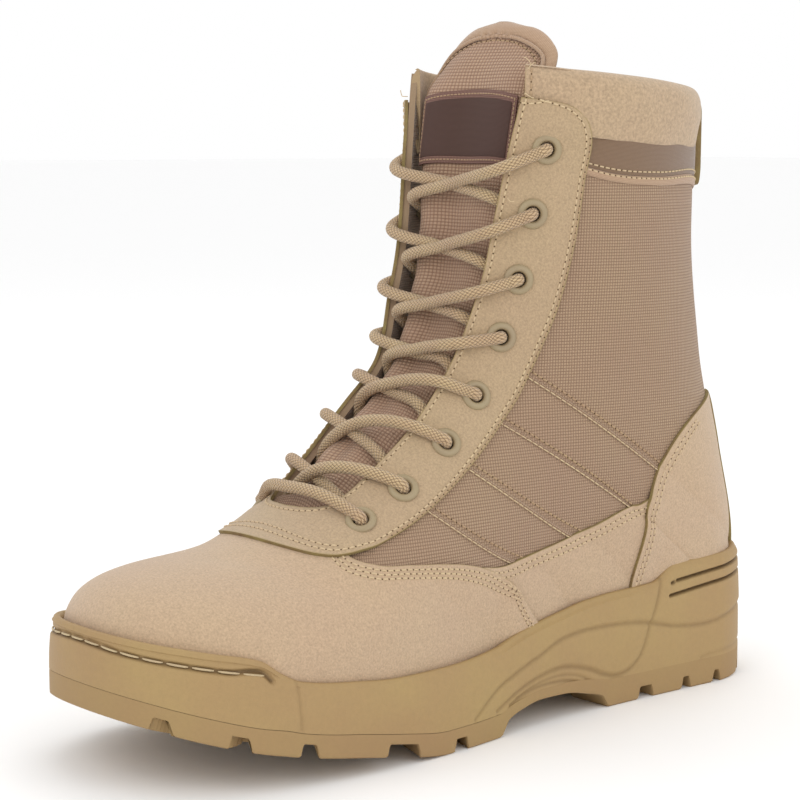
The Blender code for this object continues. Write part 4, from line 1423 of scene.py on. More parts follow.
heel_strip_spot = back_strip_spot(8.62, 10.45, 2.9, 5.0, False)
collar_strip_spot = back_strip_spot(12.28, COLLAR_U, 4.2, 3.5, True)
for name, spot, thickness in (("heel_strip", heel_strip_spot, 1.5), ("collar_strip", collar_strip_spot, 2.5)):
    strip = laid(name, 60, 32, spot, facing_suede, raw_edge)
    weld(strip, 0.0002)
    thicken(strip, thickness, 0.3, rim=1)
    done(strip, "suede")

# %% [markdown]
# ## Quilted lines
#
# Each quilted line on the quarter is a folded tuck with a row of stitches above it. The tuck is a narrow
# strip of the same nylon with a rounded top, sunk at both sides into the quarter.

# %% Tucks
TUCK_WIDTH = 0.075  # in sections
TUCK_TAIL = 2.0  # a tuck runs this far on past both ends of its line


def tuck_spot(k, side):
    def spot(w, v):
        arc = QUILT_START - TUCK_TAIL + (QUILT["end"][k] - QUILT_START + 2 * TUCK_TAIL) * w
        u = quilt_line(k, arc) + TUCK_WIDTH * (v - 0.9)
        here = side * arc * side_share(u, side)
        return on_last(u, here, skin(u, here) - 0.25 + 0.85 * np.sin(math.pi * v) ** 0.7)

    return spot


for side, label in SIDES:
    tucks = [laid("tuck", 80, 6, tuck_spot(k, side), quarter_nylon) for k in range(len(QUILT["line"]))]
    row = joined("tucks_" + label, *tucks)
    thicken(row, 0.3)
    done(row, "nylon")

# %% [markdown]
# ## Tongue
#
# The tongue is a long padded flap: nylon in front, lining behind, with a soft rolled rim round its
# domed top and a piped seam inside the rim. Its cross-section is a flat closed oval that narrows to the
# top, so one grid, rolled into a tube and closed at both ends, makes the whole flap. The rim and the
# seam's groove are soft changes of height, placed by their distance from the seam.

# %% Tongue
TONGUE = table(
    "u      half  under  middle edge",
    (4.15, 17.0, 3.3, 0.0, 0.0),
    (4.45, 19.0, 4.4, 0.0, 0.0),
    (4.85, 23.0, 8.1, -2.9, 0.0),
    (6.0, 26.0, 8.0, -2.0, 0.0),
    (7.2, 29.0, 8.0, 2.4, 0.0),
    (8.4, 31.0, 8.0, 7.0, 0.0),
    (9.5, 34.0, 8.0, 8.5, 0.0),
    (11.5, 40.0, 8.0, 10.5, 0.0),
    (12.5, 44.0, 8.0, 12.5, 1.0),
    (13.0, 46.0, 8.0, 14.0, 3.0),
    (13.24, 41.5, 8.0, 15.5, 7.5),
    (13.47, 35.0, 8.0, 17.0, 12.0),
    (13.73, 24.0, 8.0, 18.5, 17.0),
    (13.88, 11.0, 8.0, 20.0, 20.0),
)
TONGUE_THICK = 4.5
TONGUE_LOW = TONGUE["u"][0]
TONGUE_LAST = TONGUE["u"][-1]  # past this section the top's last rows are closed straight up
TONGUE_TOP = 13.9
DOME_START = 13.72
DOME_LONG = 0.19
SEAM = table(
    "u      half",
    (4.2, 18.0),
    (6.0, 23.5),
    (9.5, 31.0),
    (12.0, 38.0),
    (12.7, 40.0),
    (13.0, 38.6),
    (13.18, 34.8),
    (13.36, 27.2),
    (13.50, 18.2),
    (13.58, 10.5),
    (13.62, 0.0),
)
SEAM_TOP = SEAM["u"][-1]
UP_MM = 21.0  # one section of the tongue's top is this long
PRESSED_OUT = 4.2  # the inner edge presses up against the inner facing
LEAN = 3.0  # the top leans a little to the outer side


def backward(u):
    """The direction in a section's plane from its front towards the heel."""
    way = net[1][:, -1] - net[1][:, 0]
    way = np.stack([np.interp(u, NET_U, way[:, axis]) for axis in (1, 2)], axis=-1)
    way /= np.linalg.norm(way, axis=-1)[..., None]
    return np.concatenate([np.zeros(way.shape[:-1] + (1,)), way], axis=-1)


def on_tongue(u, arc, height=0.0):
    """Points over the tongue's face, and the outward directions there."""
    u, arc = np.asarray(u, float), np.asarray(arc, float)
    half = ease(TONGUE, "half", u)
    share = soft(np.minimum(1.0, np.abs(arc) / half))
    middle = ease(TONGUE, "middle", u)
    back = middle + (ease(TONGUE, "edge", u) - middle) * share
    inner_edge = soft((-arc - 4.0) / (half - 16.0)) * soft((u - 4.8) / 0.8) * soft((13.1 - u) / 0.5)
    under = ease(TONGUE, "under", u) - PRESSED_OUT * inner_edge
    point, away = on_last(u, arc + LEAN * soft((u - 12.8) / 0.6), height - under)
    return point + backward(u) * back[..., None], away


def from_seam(u, arc):
    """Distance from the piped seam in millimetres: plus outside it, minus inside."""
    line_u = np.linspace(4.3, SEAM_TOP, 500)
    line = np.stack([ease(SEAM, "half", line_u), line_u * UP_MM], axis=1)
    gap = nearest(np.stack([np.abs(arc).ravel(), u.ravel() * UP_MM], axis=1), line)
    inner = (np.abs(arc) < ease(SEAM, "half", u)) & (u < SEAM_TOP)
    return np.where(inner.ravel(), -gap, gap).reshape(u.shape)


def tongue_relief(u, arc):
    """Height of the padded face: a soft panel, the seam's groove, and the rolled rim beyond it."""
    gap = from_seam(u, arc)
    panel = 0.7 * soft(-gap / 9.0)
    rim = 1.5 * np.sqrt(np.clip(1.0 - ((gap - 4.2) / 4.4) ** 2, 0, 1))
    top = soft((u - 12.2) / 0.7)
    ribs = 0.16 * np.cos(arc * 2 * math.pi / 2.4) * soft((7.2 - u) / 0.8)
    waves = ribs + 0.35 * np.sin(u * 7.0 + 0.06 * arc) * soft((u - 5.0) / 1.0) * soft((12.6 - u) / 0.6)
    return np.where(gap < 0, panel, rim * top) + waves - 0.9 * np.exp(-((gap / 1.3) ** 2)) * top


def tongue_rows(w):
    """The rows are closer together near the rounded top."""
    return TONGUE_LOW + (TONGUE_TOP - TONGUE_LOW) * (1.0 - (1.0 - w) ** 1.35)


def tongue_shape(w, v):
    """A flat closed oval: v runs right round it, over the front face and back behind."""
    u = tongue_rows(w)
    turn = 2.0 * math.pi * v
    through = np.sign(np.sin(turn)) * np.abs(np.sin(turn)) ** 0.4
    half = ease(TONGUE, "half", u) - 1.0
    end = np.sqrt(np.clip(1.0 - np.clip((u - DOME_START) / DOME_LONG, 0, 1) ** 2, 0.02, 1))
    arc = np.cos(turn) * half * np.where(u > 13.8, end, 1.0)
    front = tongue_relief(u, arc) * (through > 0) * through
    height = -TONGUE_THICK / 2 + through * TONGUE_THICK / 2 * (0.25 + 0.75 * end) + front
    place = on_tongue(np.minimum(u, TONGUE_LAST), arc, height)[0]
    place[:, 2] += (u - TONGUE_LAST).clip(0) * UP_MM
    return place


WIDE_CELLS = 0.62  # the tongue's weave is wider than it is tall
climb = np.linspace(0, 1, 300)
climbed = lengths(on_tongue(tongue_rows(climb), np.zeros(300))[0][None])[0]


def tongue_chart(w, v):
    """The weave's map: height up the tongue and distance across it."""
    across = np.cos(2.0 * math.pi * v) * ease(TONGUE, "half", tongue_rows(w))
    return np.stack([np.interp(w, climb, climbed), across * WIDE_CELLS], axis=-1) * MM


tongue = pulled("padded_tongue", 200, 140, tongue_shape, tongue_chart)
clad(tongue, tongue_nylon, roll_cloth, lining_cloth)
mesh = tongue.data
corner = np.array([f.loop_start for f in mesh.polygons])
order = np.array([mesh.loops[c].vertex_index for c in corner])
where = np.array([v.co[:] for v in mesh.vertices])[order]
chart = np.array([mesh.uv_layers[0].data[c].uv[:] for c in corner]) / MM
row_u = tongue_rows(np.interp(chart[:, 0], climbed, climb))
face_arc = chart[:, 1] / WIDE_CELLS
middle, away = on_tongue(np.minimum(row_u, TONGUE_LAST), face_arc, -TONGUE_THICK / 2)
front_face = ((where / MM - middle) * away).sum(axis=1) > -0.4
on_rim = (from_seam(row_u, face_arc) > 0) & (row_u > 12.0)
kinds = np.where(~front_face, 2, np.where(on_rim, 1, 0)).astype(np.int32)
mesh.polygons.foreach_set("material_index", kinds)
closed(tongue, 0.00002)
done(tongue, "nylon", "tongue", smooth=60.0)

# %% [markdown]
# ## Cords and piping
#
# Piping, laces and tapes are all one section swept along a line. A curve with a round bevel could do
# it, but a swept grid keeps a map of its own: round the cord one way and along it the other, so that a
# braid can be laid on it. The ring of each step is carried along without twisting.


# %% Swept tube
def swept(name, path, radius, sides, finish, plaits=0):
    """A closed round cord along a line of points; plaits gives a slanted map for a braid."""
    path = np.array(path)
    run = lengths(path)
    way = np.gradient(path, axis=0)
    way /= np.linalg.norm(way, axis=1)[:, None]
    lead = np.cross(way[0], (0.0, 0.0, 1.0))
    leads = []
    for step in way:
        lead = lead - step * np.dot(lead, step)
        lead /= np.linalg.norm(lead)
        leads.append(lead)
    leads = np.array(leads)
    side = np.cross(way, leads)
    count = len(path) - 1

    def shape(w, v):
        k = np.rint(w * count).astype(int)
        turn = 2.0 * math.pi * v[:, None]
        return path[k] + (leads[k] * np.cos(turn) + side[k] * np.sin(turn)) * radius

    def chart(w, v):
        if not plaits:
            return np.stack([w * run[-1], v * 2 * math.pi * radius], axis=-1) * MM
        along = run[np.rint(w * count).astype(int)] / (2 * math.pi * radius) * plaits * 0.8
        return np.stack([v * plaits + along, v * plaits - along + 400.0], axis=-1)

    cord = pulled(name, count, sides, shape, chart)
    clad(cord, finish)
    closed(cord, 0.00001)
    return cord


seam_u = np.concatenate([np.linspace(12.3, 13.0, 24), np.linspace(13.02, SEAM_TOP, 60)])
seam_half = ease(SEAM, "half", seam_u)
seam_line = np.concatenate([np.stack([seam_u, seam_half], 1), np.stack([seam_u, -seam_half], 1)[-2::-1]])
seam_points = on_tongue(seam_line[:, 0], seam_line[:, 1], 0.25)[0]
piping = swept("tongue_piping", seam_points, 0.75, 10, roll_cloth)
done(piping, "nylon", smooth=80.0)

# %% [markdown]
# ## Label
#
# A woven label is sewn to the tongue. It is left bare: a dark satin panel with a plain lighter border
# and a darker field, with no lettering.

# %% Label
LABEL_HALF = 30.0
LABEL_LOW = 11.66
LABEL_TOP = 12.70


def label_spot(w, v, height=1.5):
    """Both long edges of the label curve down a little to the sides."""
    signed = 2.0 * w - 1.0
    low = LABEL_LOW - 0.02 * signed**2
    top = LABEL_TOP - 0.10 * signed**2
    return on_tongue(low + (top - low) * v, LABEL_HALF * signed, height)


def field_spot(w, v):
    """The same shape drawn in from its edges and a little higher."""
    return label_spot(0.05 + 0.90 * w, 0.11 + 0.78 * v, 1.75)


label = laid("label_border", 44, 14, label_spot, label_border)
thicken(label, 0.8, 0.2)
done(label, "nylon")
field = laid("label_field", 44, 14, field_spot, label_satin)
thicken(field, 0.5, 0.12)
done(field, "nylon")

# %% [markdown]
# ## Eyelets
#
# An eyelet is pressed from sheet metal: a rounded flange outside, a barrel through the leather, and the
# barrel's end rolled out behind. It is a body of revolution, so a circle is extruded and scaled ring by
# ring along half of its profile and the last ring is bridged to the first. It is modelled once, and each
# copy is set square to the leather.

# %% Eyelets
EYELET_PROFILE = table(
    "radius height",
    (2.75, -3.9),
    (2.70, -2.0),
    (2.70, 0.2),
    (2.85, 0.75),
    (3.25, 1.15),
    (3.85, 1.30),
    (4.50, 1.18),
    (5.05, 0.82),
    (5.35, 0.35),
    (5.35, 0.02),
    (4.70, -0.10),
    (3.30, -0.10),
    (3.25, -3.6),
    (4.40, -3.8),
    (4.50, -4.2),
    (3.40, -4.5),
)
EYELET_SIDES = 32


def eyelet_seat(row, side):
    """Where an eyelet sits on the facing's top face, and its outward direction."""
    u = EYELET_ROWS[row]
    arc = side * (throat_edge(u) + EYELET_INSET)
    point, away = on_last([u], [arc], facing_lift(np.array([u]), np.array([arc])))
    return point[0], away[0]


bpy.ops.object.select_all(action="DESELECT")
rings = list(zip(*EYELET_PROFILE.values()))
radius, height = rings[0]
low_ring = {"radius": radius * MM, "location": (0.0, 0.0, height * MM)}
bpy.ops.mesh.primitive_circle_add(vertices=EYELET_SIDES, **low_ring)
pattern = bpy.context.object
bpy.ops.object.transform_apply(location=True)
bpy.ops.object.mode_set(mode="EDIT")
bpy.ops.mesh.select_all(action="SELECT")
for (radius, height), (next_radius, next_height) in zip(rings, rings[1:]):
    rise = (0.0, 0.0, (next_height - height) * MM)
    bpy.ops.mesh.extrude_region_move(TRANSFORM_OT_translate={"value": rise})
    grow = (next_radius / radius, next_radius / radius, 1.0)
    bpy.ops.transform.resize(value=grow, center_override=(0.0, 0.0, 0.0), constraint_axis=(True, True, False))
bpy.ops.mesh.select_all(action="DESELECT")
bpy.ops.mesh.select_non_manifold()
bpy.ops.mesh.bridge_edge_loops()
bpy.ops.mesh.select_all(action="SELECT")
bpy.ops.mesh.normals_make_consistent(inside=False)
bpy.ops.object.mode_set(mode="OBJECT")
clad(pattern, eyelet_paint)
for row in range(len(EYELET_ROWS)):
    for side, label in SIDES:
        name = f"eyelet_{label}_{row + 1}"
        eyelet = pattern.copy()
        eyelet.data = pattern.data.copy()
        eyelet.name = "set_" + name
        bpy.context.scene.collection.objects.link(eyelet)
        seat, away = eyelet_seat(row, side)
        turn = Vector(away).to_track_quat("Z", "Y").to_matrix().to_4x4()
        eyelet.data.transform(Matrix.Translation(Vector(seat) * MM) @ turn)
        done(eyelet, "eyelet_paint", name, smooth=50.0)
bpy.data.objects.remove(pattern, do_unlink=True)

# %% [markdown]
# ## Lace
#
# One round braided lace runs through all sixteen eyelets. It starts as a straight bar on the outside of
# the lowest pair, goes in through an eyelet, comes out from under the facing's edge, crosses the tongue
# and goes over the other facing to the next eyelet up. A cord pulled tight takes the shortest way over
# the leather, so each crossing follows the straight line between its two eyelets. The strand to the
# outer eyelet always lies on top. Both ends stop behind the top eyelets.

# %% Lace
LACE_RADIUS = 2.2
PLAITS = 10
HALVINGS = 24
BEHIND_WALL = SUEDE + QUARTER_WALL  # from the facing's top face to the quarter's inner face


def taut_place(start, stop, away, arc):
    """Where a cord pulled straight between two points crosses the line of one distance round the last."""
    across = np.cross(stop - start, away)
    low = 4.0
    high = COLLAR_U
    for _ in range(HALVINGS):
        u = (low + high) / 2
        above = np.dot(on_last([u], [arc])[0][0] - start, across) * math.copysign(1.0, across[2])
        low, high = (low, u) if above > 0 else (u, high)
    return u


def over_facing(u, arc, height):
    """A point over the facing's top face, or behind it where the height is negative."""
    u = np.array([u])
    arc = np.array([arc])
    return on_last(u, arc, facing_lift(u, arc) + height)[0][0]


def unit(way):
    return way / np.linalg.norm(way)


def strand(row, side):
    """Knots of one strand, from behind its lower eyelet to inside its upper one."""
    start, start_out = eyelet_seat(row + 1, -side)
    stop, stop_out = eyelet_seat(row, side)
    away = start_out + stop_out
    upward = unit(away)
    over = side > 0
    edge = (throat_edge(EYELET_ROWS[row + 1]) + throat_edge(EYELET_ROWS[row])) / 2

    def spot(arc, height):
        return over_facing(taut_place(start, stop, away, arc), arc, height)

    low_arc = -side * (edge - 1.0)
    high_arc = side * (edge + 1.5)
    rest = on_tongue([taut_place(start, stop, away, 0.0)], [0.0], 7.0 if over else 3.0)[0][0]
    middle = spot(low_arc, -BEHIND_WALL) * 0.52 + spot(high_arc, LACE_RADIUS + 0.5) * 0.48
    middle = middle + (away / 2) * (0.6 if over else -1.2)
    middle = middle + upward * max(float(np.dot(rest - middle, upward)), 0.0)
    high_end = over_facing(taut_place(middle, stop, stop_out, high_arc), high_arc, LACE_RADIUS + 0.4)
    low_end = over_facing(taut_place(start, middle, start_out, low_arc), low_arc, -(BEHIND_WALL + 1.3))
    toward = unit(stop - middle)
    behind = -(BEHIND_WALL + LACE_RADIUS + 0.3)
    return [
        start + start_out * (behind * 0.62) + toward * 0.6,
        spot(-side * (edge + 7.0), behind),
        low_end,
        middle,
        high_end,
        stop - toward * 4.2 + stop_out * (LACE_RADIUS + 1.1),
        stop - toward * 1.0 + stop_out * 1.9,
        stop + toward * 0.2 - stop_out * 1.6,
    ]


def chain(first_side):
    """Knots of one half of the lace, from the lowest eyelet on one side up to its end."""
    knots = []
    side = -first_side
    for row in range(len(EYELET_ROWS) - 2, -1, -1):
        knots += strand(row, side)
        side = -side
    seat, away = eyelet_seat(0, -side)
    knots.append(seat - away * 4.6)
    knots.append(seat - away * 5.6 + np.array([0.0, 1.5, -7.0]))
    return knots


bar_seat = {side: eyelet_seat(len(EYELET_ROWS) - 1, side) for side in (-1, 1)}
bar_way = unit(bar_seat[1][0] - bar_seat[-1][0])


def bar_end(side):
    """Knots from inside a lowest eyelet out over its flange."""
    seat, away = bar_seat[side]
    steps = ((0.3, -1.4), (-0.4, 1.3), (-3.6, 3.1))
    return [seat + bar_way * side * outward + away * height for outward, height in steps]


bar_arcs = (-16.0, -2.0, 14.0)
bar = [over_facing(EYELET_ROWS[-1] - 0.12 + 0.004 * abs(arc), arc, LACE_RADIUS + 0.9) for arc in bar_arcs]
lace_knots = chain(-1)[::-1] + bar_end(-1) + bar + bar_end(1)[::-1] + chain(1)
lace_points = smooth_line(lace_knots)(np.linspace(0, 1, 1150))
lace = swept("lace", lace_points, LACE_RADIUS, 16, lace_braid, PLAITS)
crossings = [f"lace_crossing_{k}" for k in range(1, 8)]
done(lace, "lace", *crossings, "lace_bar", smooth=80.0)
print("the lace runs", round(float(lengths(lace_points)[-1]) / 1000, 2), "m through the boot")

# %% [markdown]
# ## Sole: its outline
#
# The sole is a moulded rubber cup. The midsole's wall stands a few millimetres outside the upper's
# bottom edge all the way round, and the tread below it a little further out. The outline is the upper's
# own edge, run from the heel point round the outer side to the toe and back, and then moved outward.

# %% Outline and heights of the sole
SOLE = table(
    "t     tread  joint  rim",
    (0, 0.0, 10.0, 50.5),
    (40, 0.0, 10.0, 49.3),
    (62, 0.0, 10.0, 48.4),
    (73, 0.0, 10.0, 42.8),
    (98, 0.0, 10.2, 41.8),
    (102, 4.6, 11.0, 41.5),
    (109, 6.6, 12.0, 41.0),
    (122, 9.0, 13.0, 39.0),
    (135, 9.3, 13.0, 36.8),
    (146, 7.6, 11.5, 34.6),
    (153, 5.4, 10.0, 32.8),
    (158, 0.0, 8.5, 31.6),
    (184, 0.0, 8.2, 29.8),
    (207, 3.4, 11.4, 30.0),
    (222, 6.0, 14.0, 31.4),
    (245, 10.0, 18.0, 34.6),
    (252, 11.6, 20.0, 38.0),
    (259, 13.2, 21.5, 43.0),
    (275, 18.0, 26.5, 46.8),
    (290, 23.5, 32.0, 50.0),
    (302, 28.0, 36.5, 53.0),
)
WALL_OUT = 4.6  # the wall and the tread stand this far outside the upper's edge
TREAD_OUT = 5.4
LUG_DEPTH = 4.5
JOINT_RAISE = 0.2  # the two rubbers meet this far above the table's joint
BED_DROP = 0.3  # the floor of the cup lies this far under the upper's edge
HALF_LOOP = 535  # steps of the outline on each side

loop_u = HEEL_POINT_U * np.linspace(1, 0, 900) ** 3
halves = []
for side in (1, -1):
    path = on_last(loop_u, side * sole_edge(loop_u, side))[0]
    path[0, 0] = path[-1, 0] = 0.0
    run = lengths(path)
    halves.append(along_line(path, run, np.linspace(0, run[-1], HALF_LOOP + 1)))
loop = np.concatenate([halves[0], halves[1][-2:0:-1]])
LOOP = len(loop)
step = np.roll(loop, -6, axis=0) - np.roll(loop, 6, axis=0)
loop_out = np.stack([-step[:, 1], step[:, 0], np.zeros(LOOP)], axis=1)
loop_out /= np.linalg.norm(loop_out, axis=1)[:, None]
loop_t = ORIGIN_T - loop[:, 1]
wall_t = ORIGIN_T - (loop[:, 1] + loop_out[:, 1] * WALL_OUT)
joint_z = ease(SOLE, "joint", loop_t) + JOINT_RAISE
outline = np.linalg.norm(np.roll(loop, -1, axis=0)[:, :2] - loop[:, :2], axis=1).sum()
print("the sole's outline is", round(float(outline)), "mm long")


def ring_index(w):
    """The outline's point for each place of a grid that runs right round it."""
    return np.rint(w * LOOP).astype(int) % LOOP


def set_out(k, out, height):
    """The outline's points moved outward and set at a height."""
    place = loop[k] + loop_out[k] * np.reshape(out, (-1, 1))
    place[:, 2] = height
    return place


def across_sole(values, k, v):
    """A value at each point of the outline, carried straight across the sole to the other side."""
    return values[k] * (1 - v) + values[(LOOP - k) % LOOP] * v

# %% [markdown]
# ## Sole: the lines moulded into its wall
#
# The mould leaves grooves and soft steps in the wall. Each line is a short table of places: how far
# forward it is and how high. The inner side mirrors the outer one. The wall is a close grid and each
# of its points is pushed in or out by its distance from those lines, so that the relief is real shape.

# %% Lines in the sole's wall
TOE_GROOVE = table(
    "t  z",
    (257, 36.6), (258.5, 38.3), (271, 40.5), (283, 42.8), (291, 44.5), (296, 46), (299, 47.5), (303, 48),
)
TOE_END = table("t  z", (248.5, 36.4), (248, 34.5), (247.3, 27), (247, 19.5))
SWEEP = table(
    "t  z",
    (171, 9.5), (158, 17.8), (147, 21.8), (135, 25.5), (124, 29.2), (114, 30.4), (103, 30.5),
    (82, 29), (59, 24.5), (43, 23.8), (30, 26), (23, 27), (8, 27.6), (-2, 27.6),
)
ARCH = table(
    "t  z",
    (159, 9.8), (146, 15), (134, 18), (124, 19), (116, 17.8), (108, 15.5), (101, 12.6), (94, 11.2),
    (87, 12.4), (81, 16.8), (78, 22), (76, 27.2), (73, 33), (71, 38), (69.5, 43.5),
)
HOLLOW_1 = table("t  z", (152, 10.6), (140, 13.8), (129, 14.4), (118, 13.2), (110, 10.4), (104, 7.0))
HOLLOW_2 = table("t  z", (146, 9.6), (136, 11.6), (126, 12.0), (116, 10.2), (108, 6.9))
HOLLOW_3 = table("t  z", (148, 12.2), (134, 15.8), (124, 16.2), (114, 14.2), (107, 10.8), (101, 7.0))
SLOT_DOT = table("t  z", (63.9, 41.6), (63.0, 41.8))
SLOT_UPPER = table("t  z", (61, 42.2), (29, 44.8), (12, 45.8), (-2, 46.0))
SLOT_LOWER = table("t  z", (65, 36.9), (29, 40), (12, 40.9), (-2, 41.1))
HEEL_LINE = table("t  z", (48, 11), (29, 12.2), (12, 12.9), (-2, 13.0))


GROOVES = (
    # line, width and depth of the cut, width and darkness of its painted shade
    (HOLLOW_1, 0.85, 0.5, 0.6, 0.35),
    (HOLLOW_2, 0.85, 0.5, 0.6, 0.35),
    (HOLLOW_3, 0.85, 0.4, 0.5, 0.25),
    (SLOT_DOT, 0.62, 1.1, 0.75, 0.95),
    (SLOT_UPPER, 0.62, 1.6, 0.62, 0.95),
    (SLOT_LOWER, 0.62, 1.6, 0.62, 0.95),
    (HEEL_LINE, 0.8, 0.4, 0.6, 0.12),
    (TOE_END, 0.7, 0.4, 0.6, 0.15),
    (TOE_GROOVE, 0.95, 1.3, 0.8, 0.8),
)


def gap_to(line, t, z, both=False):
    """Distance from points of the wall to a line; with both, also plus above it and minus below."""
    knots = np.stack([line["t"], line["z"]], axis=1)
    fine = smooth_line(knots, (1.0, 1.0))(np.linspace(0, 1, 260))
    near = (t > fine[:, 0].min() - 6) & (t < fine[:, 0].max() + 6)
    gap = np.full(t.shape, 30.0)
    gap[near] = nearest(np.stack([t[near], z[near]], axis=1), fine)
    if both:
        order = np.argsort(fine[:, 0])
        above = z > np.interp(t, fine[order, 0], fine[order, 1])
        gap = np.where(above, gap, -gap)
    return gap


def cut(gap, width, depth):
    """A round-bottomed groove."""
    return -depth * np.exp(-((np.abs(gap) / width) ** 2.6))


def groove_shade(t, z):
    """How dark the painted shade of the grooves is: deep in the slots, faint along the moulded lines."""
    mark = np.zeros_like(t)
    for line, _, _, width, dark in (*GROOVES, (SWEEP, 0, 0, 0.7, 0.3), (ARCH, 0, 0, 0.7, 0.3)):
        mark = np.maximum(mark, dark * np.exp(-((gap_to(line, t, z) / width) ** 2.5)))
    return mark


def wall_relief(t, z):
    """How far the wall stands out: soft steps over the sweep and the arch, and the cut grooves."""
    toe = soft((t - 244.0) / 8.0)
    sweep = gap_to(SWEEP, t, z, True)
    arch = gap_to(ARCH, t, z, True)
    relief = cut(sweep, 1.0, 0.55) * soft((176 - t) / 6)
    relief += 0.4 * soft((sweep + 0.5) / 2.5) * soft((168 - t) / 14)
    relief += cut(arch, 1.0, 0.6) + 0.4 * soft((arch + 0.5) / 2.5) * soft((160 - t) / 12) * soft((t - 80) / 6)
    for line, width, depth, _, _ in GROOVES:
        relief += cut(gap_to(line, t, z), width, depth)
    groove_z = np.interp(t, TOE_GROOVE["t"], TOE_GROOVE["z"])
    relief -= 0.5 * toe * soft((z - groove_z) / 1.5)
    return relief


# %% [markdown]
# ## Midsole
#
# The wall's grid runs right round the outline. Its rows climb the wall, roll over a rounded lip and go
# down inside against the upper. A second grid closes the ring below the insole and a third closes it
# underneath, and the three are welded into one solid.

# %% Midsole
LIP = table(
    "out    down",
    (3.6, 1.1),
    (3.35, 0.45),
    (2.9, 0.1),
    (2.3, 0.0),
    (1.6, 0.15),
    (0.9, 0.7),
    (0.3, 1.6),
    (-0.2, 3.2),
)
WALL_ROWS = 74
LIP_ROWS = len(LIP["out"])
LIP_DROP = 1.6  # the wall ends this far under the rim, where the rounded lip begins
FLOOR_OUT = -1.2  # the floor of the cup ends this far inside the outline


def ring_shape(w, v):
    """Rows up the wall, then over the lip, and last the row that meets the floor of the cup."""
    k = ring_index(w)
    row = np.rint(v * (WALL_ROWS + LIP_ROWS + 1)).astype(int)
    joint = joint_z[k]
    rim = ease(SOLE, "rim", loop_t[k])
    share = np.interp(row, (0, 38, WALL_ROWS - 2, WALL_ROWS), (0.0, 0.70, 0.97, 1.0))
    z = joint + (rim - LIP_DROP - joint) * share
    swell = 0.35 * np.sin(math.pi * share)
    out = TREAD_OUT - 0.2 + (WALL_OUT - 0.6 - TREAD_OUT + 0.2) * share + swell
    out += wall_relief(wall_t[k], z) * soft((1 - share) / 0.03)
    lip = np.clip(row - WALL_ROWS - 1, 0, LIP_ROWS - 1)
    over = row > WALL_ROWS
    out = np.where(over, LIP["out"][lip], out)
    z = np.where(over, rim - LIP["down"][lip], z)
    last = row > WALL_ROWS + LIP_ROWS
    out = np.where(last, FLOOR_OUT, out)
    return set_out(k, out, np.where(last, loop[k, 2] - BED_DROP, z))


def bed(name, height, out, rows):
    """A grid across the sole, with its edge on the outline moved outward; height(k, v, place) lifts it."""

    def shape(w, v):
        k = np.rint(w * HALF_LOOP).astype(int)
        place = across_sole(loop + loop_out * out, k, v[:, None])
        place[:, 2] = height(k, v, place)
        return place

    return pulled(name, HALF_LOOP, rows, shape)


def level(values):
    """A height for bed that runs straight across from one side's value to the other's."""
    return lambda k, v, place: across_sole(values, k, v)


wall = pulled("midsole_wall", LOOP, WALL_ROWS + LIP_ROWS + 1, ring_shape)
top_bed = bed("midsole_top", level(loop[:, 2] - BED_DROP), FLOOR_OUT, 8)
under_bed = bed("midsole_under", level(joint_z), TREAD_OUT - 0.2, 8)
spots = np.array([v.co[:] for v in wall.data.vertices]) / MM
# painted shade: each point of the wall takes the darkness of the grooves near it
shade_marks = groove_shade(ORIGIN_T - spots[:, 1], spots[:, 2])
groove = wall.data.attributes.new("groove", "FLOAT", "POINT")
groove.data.foreach_set("value", shade_marks.astype(np.float32))
midsole = joined("cup_midsole", wall, top_bed, under_bed)
clad(midsole, sole_rubber)
closed(midsole, 0.00003, fill=False)
done(midsole, "sole_rubber", "midsole", smooth=38.0)

# %% [markdown]
# ## Outsole
#
# The tread is a field of lugs. Its underside is one grid whose points are lifted where a groove runs:
# the notches in from the edge, with slanted sides, and a zigzag field in the middle. Where a notch
# reaches the edge, the wall's lowest row is lifted with it, which opens the notch to the side.

# %% Outsole
NOTCHES = table(
    "t     width skew",
    (20.0, 3.5, 0.0),
    (39.0, 4.0, 0.0),
    (56.0, 4.4, 0.0),
    (78.0, 7.6, 0.0),
    (178.0, 6.4, 6.0),
    (205.5, 14.0, 8.0),
    (244.0, 6.4, 12.0),
    (267.5, 6.6, 16.0),
    (288.0, 4.6, 18.0),
)


def tread_lift(t, inward, across):
    """How far grooves lift the tread: notches at the edge, a zigzag field in the middle."""
    lift = np.zeros_like(t)
    for middle, width, skew in zip(NOTCHES["t"], NOTCHES["width"], NOTCHES["skew"]):
        centre = middle - skew * np.clip(inward / 20.0, 0, 1)
        sides = soft((width / 2 + 0.5 - np.abs(t - centre)) / 1.3)
        lift = np.maximum(lift, LUG_DEPTH * sides * soft((22.0 - inward) / 2.0))
    ridge = np.abs(((t + 0.7 * np.abs(across)) / 17.0) % 1.0 - 0.5) * 17.0
    in_field = soft((inward - 19.0) / 2.5) * soft((t - 14.0) / 3.0) * soft((286.0 - t) / 4.0)
    waist = soft((t - 98.0) / 3.0) * soft((157.0 - t) / 3.0)
    zigzag = LUG_DEPTH * 0.8 * soft((2.6 - ridge) / 1.0) * in_field
    moat = LUG_DEPTH * 0.8 * soft((1.5 - np.abs(inward - 20.5)) / 1.0) * soft((t - 16.0) / 3.0)
    return np.maximum(lift, np.maximum(zigzag, moat) * (1 - waist))


def tread_height(k, v, place):
    other = (LOOP - k) % LOOP
    width = np.linalg.norm((loop[k] - loop[other])[:, :2], axis=1) + 2 * TREAD_OUT
    inward = np.minimum(v, 1 - v) * width
    t = ORIGIN_T - place[:, 1]
    return ease(SOLE, "tread", loop_t[k]) + tread_lift(t, inward, place[:, 0])


SIDE_ROWS = 12


